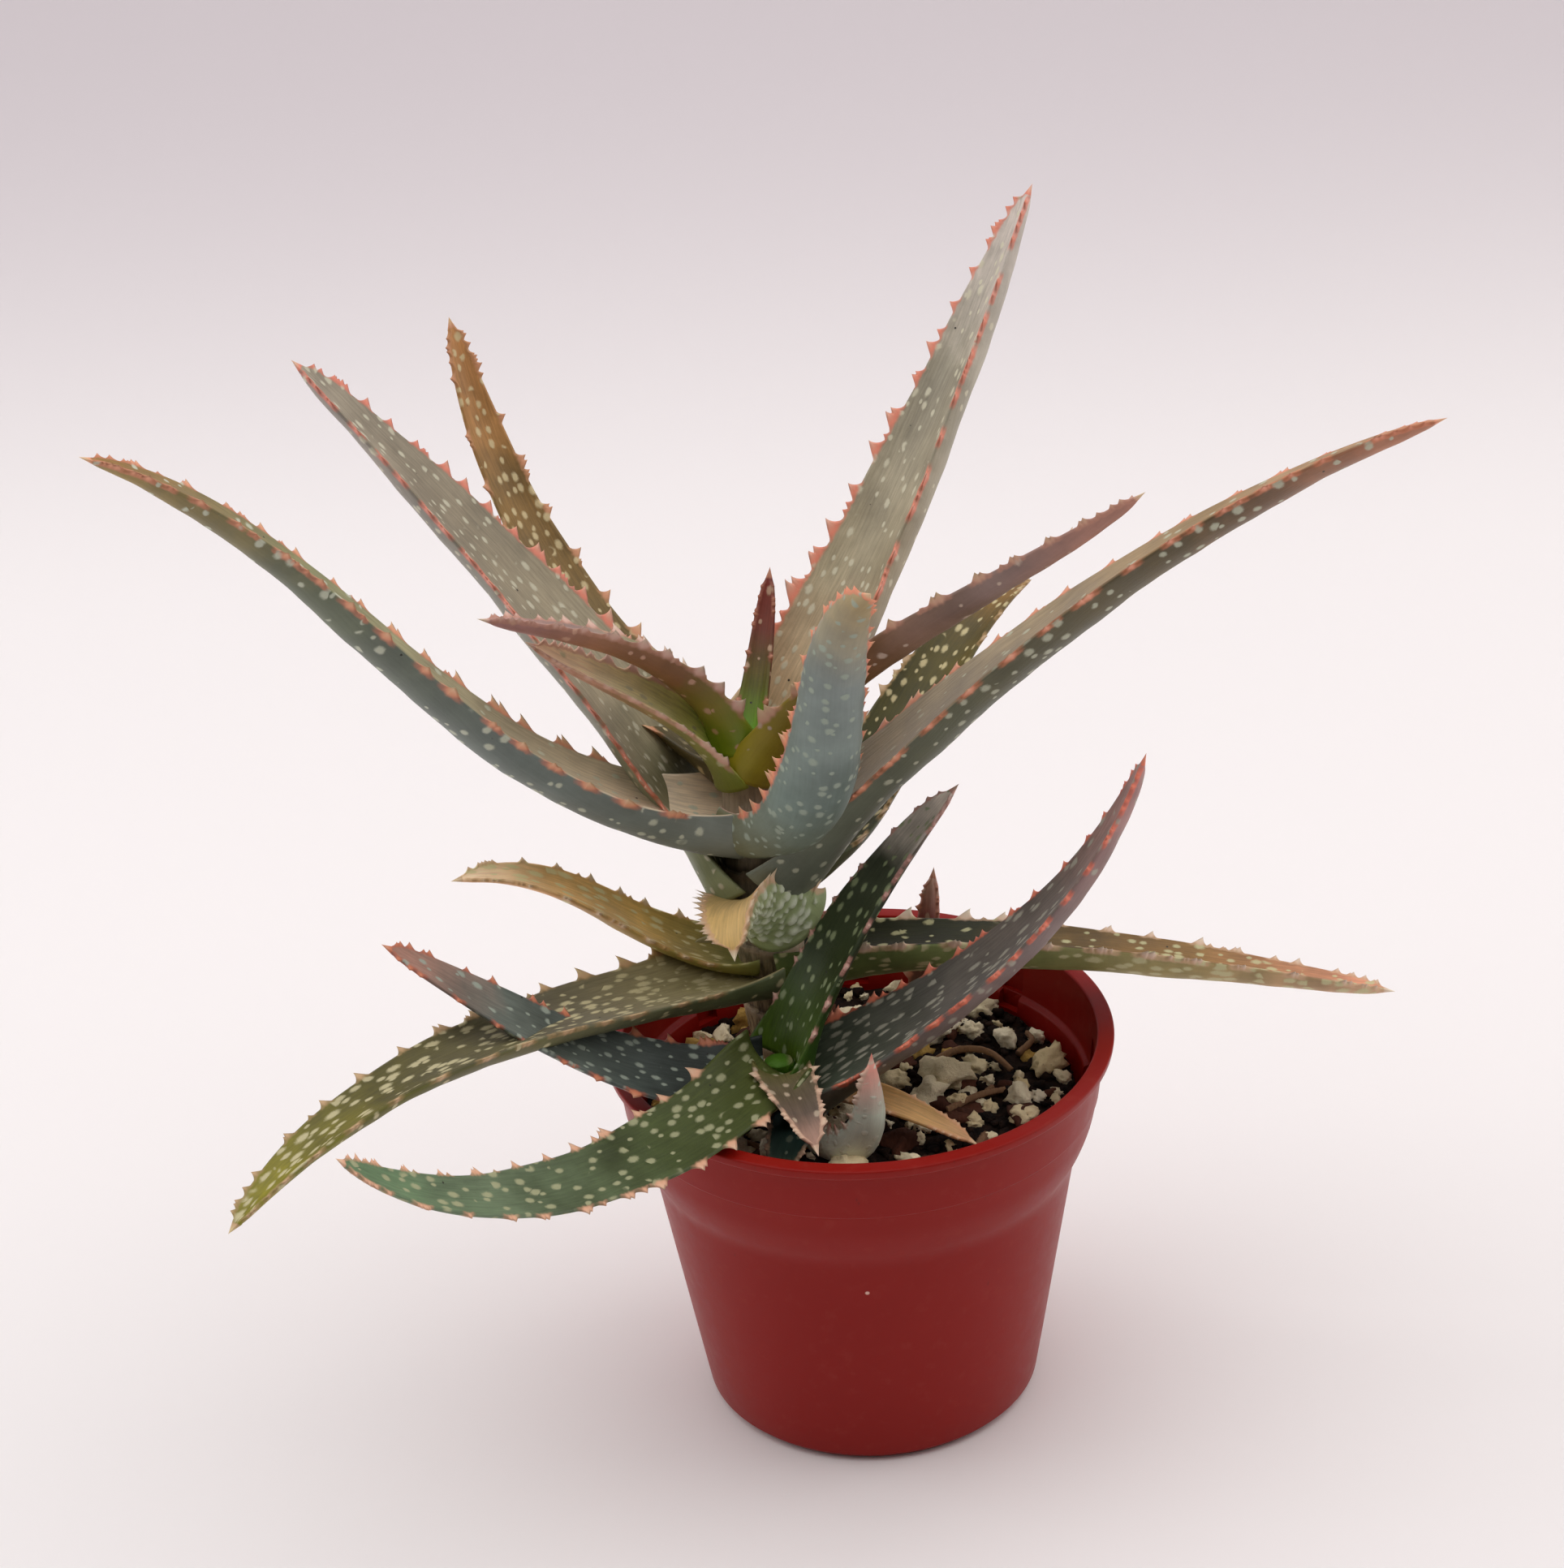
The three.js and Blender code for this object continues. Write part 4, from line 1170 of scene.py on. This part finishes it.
def clear_of(places, x, y, radius):
    return all(math.hypot(x - p[0], y - p[1]) > radius + p[2] for p in places)


def make_grains():
    """Pumice of many sizes, each grain clear of the others."""
    random = np.random.RandomState(GRAIN_SEED)
    parts, places = [], []
    for _ in range(GRAINS * GRAIN_TRIES):
        if len(parts) >= GRAINS:
            break
        radius = GRAIN_SMALL + (GRAIN_LARGE - GRAIN_SMALL) * random.uniform() ** 1.5
        x, y = soil_spot(random, radius)
        if not clear_of(places, x, y, radius):
            continue
        places.append((x, y, radius))
        stretch = random.uniform(GRAIN_FLAT, GRAIN_ROUND)
        points, faces = lump(random, 3, radius, stretch, 9, 0.5)
        points = on_soil(points, x, y, GRAIN_LIFT * radius)
        ochre = random.uniform() < OCHRE_SHARE + OCHRE_MORE * (x < OCHRE_LEFT)
        parts.append((points, faces, (random.uniform(), float(ochre), random.uniform())))
    return finished(joined("fine_grains", parts), grain_material(), "soil")


def grain_material():
    material, tree, shader = new_material("pumice", 0.9, 0.25)
    tone, ochre, _ = separated(tree, attribute(tree, "tint"))
    place = object_place(tree)
    pores = noise_texture(tree, place, 1.1, 5.0, 0.7)
    stain = noise_texture(tree, place, 0.33)
    pale = ramp(tree, tone, ("ecd6a4", "f6e6be", "fdf2d6", "f0d8a4"), (0.0, 0.35, 0.7, 1.0))
    colour = mixed(tree, ochre, pale, "c09a52")
    colour = overlaid(tree, colour, stain, (0.55, 0.75), 0.35, "b08c5c")
    colour = overlaid(tree, colour, pores, (0.6, 0.75), 0.5, "6e5232")
    coat(tree, shader, colour, pores, 1.0, 0.5)
    return material


def strewn(kind):
    """Parts of one kind of small lumps, strewn on the soil."""
    random = np.random.RandomState(kind.seed)
    parts = []
    for _ in range(kind.count):
        size = random.uniform(*kind.sizes)
        x, y = soil_spot(random, size + kind.inset)
        points, faces = lump(random, kind.detail, size, kind.stretch, 7, kind.roughness)
        points = on_soil(points, x, y, kind.lift_share * size + kind.lift)
        parts.append((points, faces, (random.uniform(), 0.0, 0.0)))
    return parts


def make_crumbs():
    return finished(joined("fine_crumbs", strewn(CRUMBS)), peat_material("peat_crumbs"), "soil")


def make_bark():
    return finished(joined("fine_bark", strewn(BARK)), wood_material("bark", "2c140c", "663a28"), "soil")


def wood_material(name, dark, light):
    material, tree, shader = new_material(name, 0.85, 0.25)
    tone = separated(tree, attribute(tree, "tint"))[0]
    place = object_place(tree)
    fibres = noise_texture(tree, stretched(tree, place, (2.6, 0.7, 0.7)), 1.0, 4.0, 0.65)
    lightness = added(tree, times(tree, tone, 0.5), times(tree, fibres, 0.6))
    coat(tree, shader, mixed(tree, lightness, dark, light), fibres, 0.8, 0.3)
    return material


# Twigs on the soil: points along each (mm, with the height above the soil's top)
TWIGS = [
    [(14.0, -8.5, 0.9), (19.0, -5.5, 1.6), (24.0, -3.0, 1.1)],
    [(15.5, -7.0, 0.6), (20.0, -4.6, 1.2), (22.0, -3.0, 1.8)],
    [(12.0, 7.0, 0.8), (17.0, 9.0, 2.0), (22.0, 7.6, 2.1), (25.5, 3.5, 0.9)],
    [(20.0, -16.0, 0.6), (18.5, -20.5, 1.4), (18.0, -24.0, 0.6)],
    [(-24.0, -12.0, 0.6), (-20.0, -16.0, 1.4), (-15.5, -17.5, 0.6)],
    [(4.0, 26.0, 0.6), (9.0, 28.0, 1.6), (14.0, 27.0, 0.7)],
    [(-26.0, 8.0, 0.7), (-27.5, 13.0, 1.6), (-25.5, 17.0, 0.6)],
    [(27.0, 9.0, 0.6), (29.5, 12.0, 1.3), (29.0, 16.0, 0.5)],
]
TWIG_SEED = 3
TWIG_RADIUS = 0.62
TWIG_SIZES = (0.7, 1.2)
TWIG_TAPER = (1.1, 0.75)
TWIG_UNEVENNESS = 0.16
TWIG_SIDES = 14
TWIG_RINGS = 30


def smooth_path(points, count):
    """Points of a Catmull-Rom curve through the given ones."""
    given = np.array([points[0]] + list(points) + [points[-1]], float)
    path = []
    for place in np.linspace(0, len(points) - 1, count):
        i = min(int(place), len(points) - 2)
        t = place - i
        a, b, c, d = given[i : i + 4]
        path.append(0.5 * (2 * b + (c - a) * t + (2 * a - 5 * b + 4 * c - d) * t**2
                           + (3 * b - a - 3 * c + d) * t**3))
    return np.array(path)


def tube(path, radii, sides, random, unevenness):
    """A closed tube of points and faces round a path."""
    tangent = np.gradient(path, axis=0)
    tangent /= np.linalg.norm(tangent, axis=1)[:, None]
    guide = np.array([0.0, 0.0, 1.0]) if abs(tangent[0][2]) < 0.8 else np.array([1.0, 0.0, 0.0])
    across = np.cross(tangent, guide)
    across /= np.linalg.norm(across, axis=1)[:, None]
    up = np.cross(across, tangent)
    angle = 2 * math.pi * np.arange(sides) / sides
    ridge = 1 + unevenness * random.uniform(-1, 1, sides)
    rough = 1 + unevenness * random.uniform(-1, 1, (len(path), sides)) * 0.5
    size = np.asarray(radii)[:, None] * ridge * rough
    points = path[:, None] + across[:, None] * (size * np.cos(angle))[..., None]
    points = points + up[:, None] * (size * np.sin(angle))[..., None]
    return points.reshape(-1, 3), closed_faces(len(path), sides)


def make_twigs():
    random = np.random.RandomState(TWIG_SEED)
    parts = []
    for twig in TWIGS:
        path = smooth_path([(x, y, SOIL_TOP + lift) for x, y, lift in twig], TWIG_RINGS)
        radii = TWIG_RADIUS * random.uniform(*TWIG_SIZES) * np.linspace(*TWIG_TAPER, TWIG_RINGS)
        points, faces = tube(path, radii, TWIG_SIDES, random, TWIG_UNEVENNESS)
        parts.append((points, faces, (random.uniform(), 0.0, 0.0)))
    return finished(joined("fine_twigs", parts), wood_material("twig", "5a3d2a", "a07c5c"), "soil")


# Stems: axis from the buried foot to the top and radii along it (mm), with the
# height of one sheath, the heights where dry skin gives way to living skin,
# and the colours of that
Stem = namedtuple("Stem", "name axis radii rings sheath living fresh")
STEMS = [
    Stem(
        "main_stem",
        [(-12.5, 12, 40), (-13, 11.5, 58), (-15, 11, 88), (-16.5, 10.5, 117)],
        [2.6, 5.2, 5.6, 6.0, 2.8], 220, 7.4, (66, 92), ("8a8474", "b0a494"),
    ),
    Stem(
        "pup_stem",
        [(-9, -3, 42), (-10, -6, 55), (-12, -9, 62), (-13.5, -12, 69.5)],
        [1.8, 3.4, 3.6, 3.4, 2.2], 110, 4.2, (58, 64), ("3e5c14", "6a8a30"),
    ),
]
STEM_SIDES = 72
# Sheaths: how far their lips stand out, how much of that lies below the stem's
# radius, where a lip ends as a share of the sheath, how they slant, and relief
SHEATH_LIP = 0.55
SHEATH_SUNK = 0.35
SHEATH_END = (0.93, 1.0)
SHEATH_SLANT = 1.5
SHEATH_TURN = 9.0
STEM_RELIEF = 0.16
# The growing point at the top of a stem
CROWN_DEPTH = 9
CROWN_COLOUR = "4c7818"


def make_stem(stem):
    """A stem wrapped in the sheaths of its leaves, each standing proud at its upper edge."""
    path = smooth_path(stem.axis, stem.rings)
    share = np.linspace(0, 1, stem.rings)
    radius = np.interp(share, np.linspace(0, 1, len(stem.radii)), stem.radii)
    angle = 2 * math.pi * np.arange(STEM_SIDES) / STEM_SIDES
    height = path[:, 2][:, None]
    part = ((height + SHEATH_SLANT * np.sin(angle + height / SHEATH_TURN)) / stem.sheath) % 1.0
    lip = SHEATH_LIP * (part**1.6 * (1 - smooth_step(part, *SHEATH_END)) - SHEATH_SUNK)
    rings = []
    for i, centre in enumerate(path):
        size = radius[i] + lip[i]
        ring = np.stack([size * np.cos(angle), size * np.sin(angle), np.zeros(STEM_SIDES)], -1) + centre
        rough = [turbulence.fractal(Vector((p[0], p[1], p[2] * 0.4)), 0.8, 2.0, 4) for p in ring]
        ring[:, :2] += (ring - centre)[:, :2] / size[:, None] * (STEM_RELIEF * np.array(rough))[:, None]
        rings.append(ring)
    values = {"lip": np.repeat(part.reshape(-1, 1), 3, axis=1)}
    faces = closed_faces(stem.rings, STEM_SIDES)
    piece = mesh_object("fine_" + stem.name, np.vstack(rings), faces, values)
    return finished(piece, stem_material(stem), "stem", stem.name)


def stem_material(stem):
    """Dry skin that gives way to living skin, pale lips, dark gaps and a green top."""
    material, tree, shader = new_material("skin_of_" + stem.name, 0.6, 0.35)
    place = object_place(tree)
    lines = noise_texture(tree, stretched(tree, place, (1.3, 1.3, 0.12)), 1.0, 4.0, 0.6)
    flakes = noise_texture(tree, place, 0.6, 5.0, 0.7)
    height = separated(tree, place)[2]
    dry = mixed(tree, step(tree, lines, 0.35, 0.65), "6a543c", "b09a76")
    fresh = mixed(tree, step(tree, lines, 0.3, 0.7), *stem.fresh)
    living = step(tree, varied(tree, height, flakes, 14.0), *stem.living)
    colour = mixed(tree, living, dry, fresh)
    top = stem.axis[-1][2]
    colour = mixed(tree, step(tree, height, top - CROWN_DEPTH, top), colour, CROWN_COLOUR)
    lip = separated(tree, attribute(tree, "lip"))[0]
    colour = overlaid(tree, colour, lip, (0.72, 0.92), 0.55, "b39a80")
    gap = times(tree, opposite(tree, step(tree, lip, 0.02, 0.2)), 0.6)
    colour = mixed(tree, gap, colour, "2c2017")
    coat(tree, shader, colour, added(tree, lines, flakes), 0.7, 0.3)
    return material


# Floor: one pale sheet that is flat to its start, then curves up far behind the plant
# into a wall (mm). Its colour darkens towards the wall as painted shade.
SWEEP_FRONT = -1400
SWEEP_START = 300
SWEEP_REACH = 685
SWEEP_HEIGHT = 760
SWEEP_TOP = 1600
SWEEP_POWER = 2 / 3
SWEEP_HALF_WIDTH = 1800
SWEEP_STEPS = 160
FLOOR_NEAR = "f8f4f4"
FLOOR_FAR_SHADE = "dcd4d8"
FLOOR_SHADE_FADE = (340, 760)


def make_floor():
    turn = np.linspace(0, math.pi / 2, SWEEP_STEPS - 2)
    back = SWEEP_START + SWEEP_REACH * np.sin(turn) ** SWEEP_POWER
    height = SWEEP_HEIGHT * (1 - np.cos(turn) ** SWEEP_POWER)
    bend = np.stack([np.zeros_like(turn), back, height], -1)
    line = np.vstack([(0, SWEEP_FRONT, 0), bend, (0, SWEEP_START + SWEEP_REACH, SWEEP_TOP)])
    points = np.vstack([line + (side * SWEEP_HALF_WIDTH, 0, 0) for side in (-1, 1)])
    faces = [[i, i + 1, SWEEP_STEPS + i + 1, SWEEP_STEPS + i] for i in range(SWEEP_STEPS - 1)]
    floor = mesh_object("floor", points, faces)
    material, tree, shader = new_material("backdrop", 0.9, 0.1)
    # Painted shade: the colour darkens from near to far, standing in for the light falling off up the wall
    far = step(tree, separated(tree, object_place(tree))[1], *FLOOR_SHADE_FADE)
    put(tree, shader.inputs["Base Color"], mixed(tree, far, FLOOR_NEAR, FLOOR_FAR_SHADE))
    floor.data.materials.append(material)


# Light: a broad soft box above, weaker ones at the sides, and a pale room that is
# darker on the viewer's side
Lamp = namedtuple("Lamp", "name place target size watts colour")
LAMPS = [
    Lamp("top_light", (0, 60, 1000), (0, 0, 60), 1800, 9.4, (1.0, 0.985, 0.975)),
    Lamp("left_light", (-900, 100, 450), (0, 0, 90), 700, 1.6, (0.97, 0.985, 1.0)),
    Lamp("right_light", (900, 100, 450), (0, 0, 90), 700, 1.6, (1.0, 0.975, 0.95)),
]
ROOM_COLOUR = (1.0, 0.97, 0.965, 1.0)
ROOM_STRENGTH = 0.66
VIEWER_SIDE_COLOUR = (0.12, 0.11, 0.11, 1.0)
VIEWER_SIDE = (-0.8, 0.0)


def make_lamp(lamp):
    data = bpy.data.lights.new(lamp.name, "AREA")
    data.shape = "SQUARE"
    data.size = lamp.size * MM
    data.energy = lamp.watts
    data.color = lamp.colour
    piece = bpy.data.objects.new(lamp.name, data)
    piece.location = Vector(lamp.place) * MM
    piece.rotation_mode = "QUATERNION"
    piece.rotation_quaternion = (Vector(lamp.target) - Vector(lamp.place)).to_track_quat("-Z", "Y")
    bpy.context.scene.collection.objects.link(piece)


def make_room():
    world = bpy.data.worlds.new("room")
    world.use_nodes = True
    tree = world.node_tree
    background = tree.nodes["Background"]
    direction = separated(tree, new_node(tree, "TexCoord").outputs["Generated"])
    behind = step(tree, direction[1], *VIEWER_SIDE)
    put(tree, background.inputs["Color"], mixed(tree, behind, VIEWER_SIDE_COLOUR, ROOM_COLOUR))
    background.inputs["Strength"].default_value = ROOM_STRENGTH
    bpy.context.scene.world = world


def make_camera():
    yaw, pitch, roll = (math.radians(a) for a in (CAMERA_YAW, CAMERA_PITCH, CAMERA_ROLL))
    ahead = Vector((-math.sin(yaw) * math.cos(pitch), math.cos(yaw) * math.cos(pitch), -math.sin(pitch)))
    right = Vector((math.cos(yaw), math.sin(yaw), 0))
    down = ahead.cross(right)
    image_right = right * math.cos(roll) + down * math.sin(roll)
    image_down = down * math.cos(roll) - right * math.sin(roll)
    data = bpy.data.cameras.new("camera")
    data.sensor_fit = "HORIZONTAL"
    data.sensor_width = SENSOR_WIDTH
    data.lens = FOCAL_PIXELS / PHOTO_WIDTH * SENSOR_WIDTH
    data.clip_start = 0.01
    data.clip_end = 20.0
    camera = bpy.data.objects.new("camera", data)
    turn = Matrix((image_right, -image_down, -ahead)).transposed().to_4x4()
    camera.matrix_world = Matrix.Translation(Vector(CAMERA_PLACE) * MM) @ turn
    bpy.context.scene.collection.objects.link(camera)
    bpy.context.scene.camera = camera


make_camera()
for lamp in LAMPS:
    make_lamp(lamp)
make_room()
make_floor()
bpy.context.scene.view_settings.view_transform = "Standard"
make_pot()
make_peat()
make_grains()
make_crumbs()
make_bark()
make_twigs()
for stem in STEMS:
    make_stem(stem)
for leaf in LEAVES:
    make_leaf(leaf)
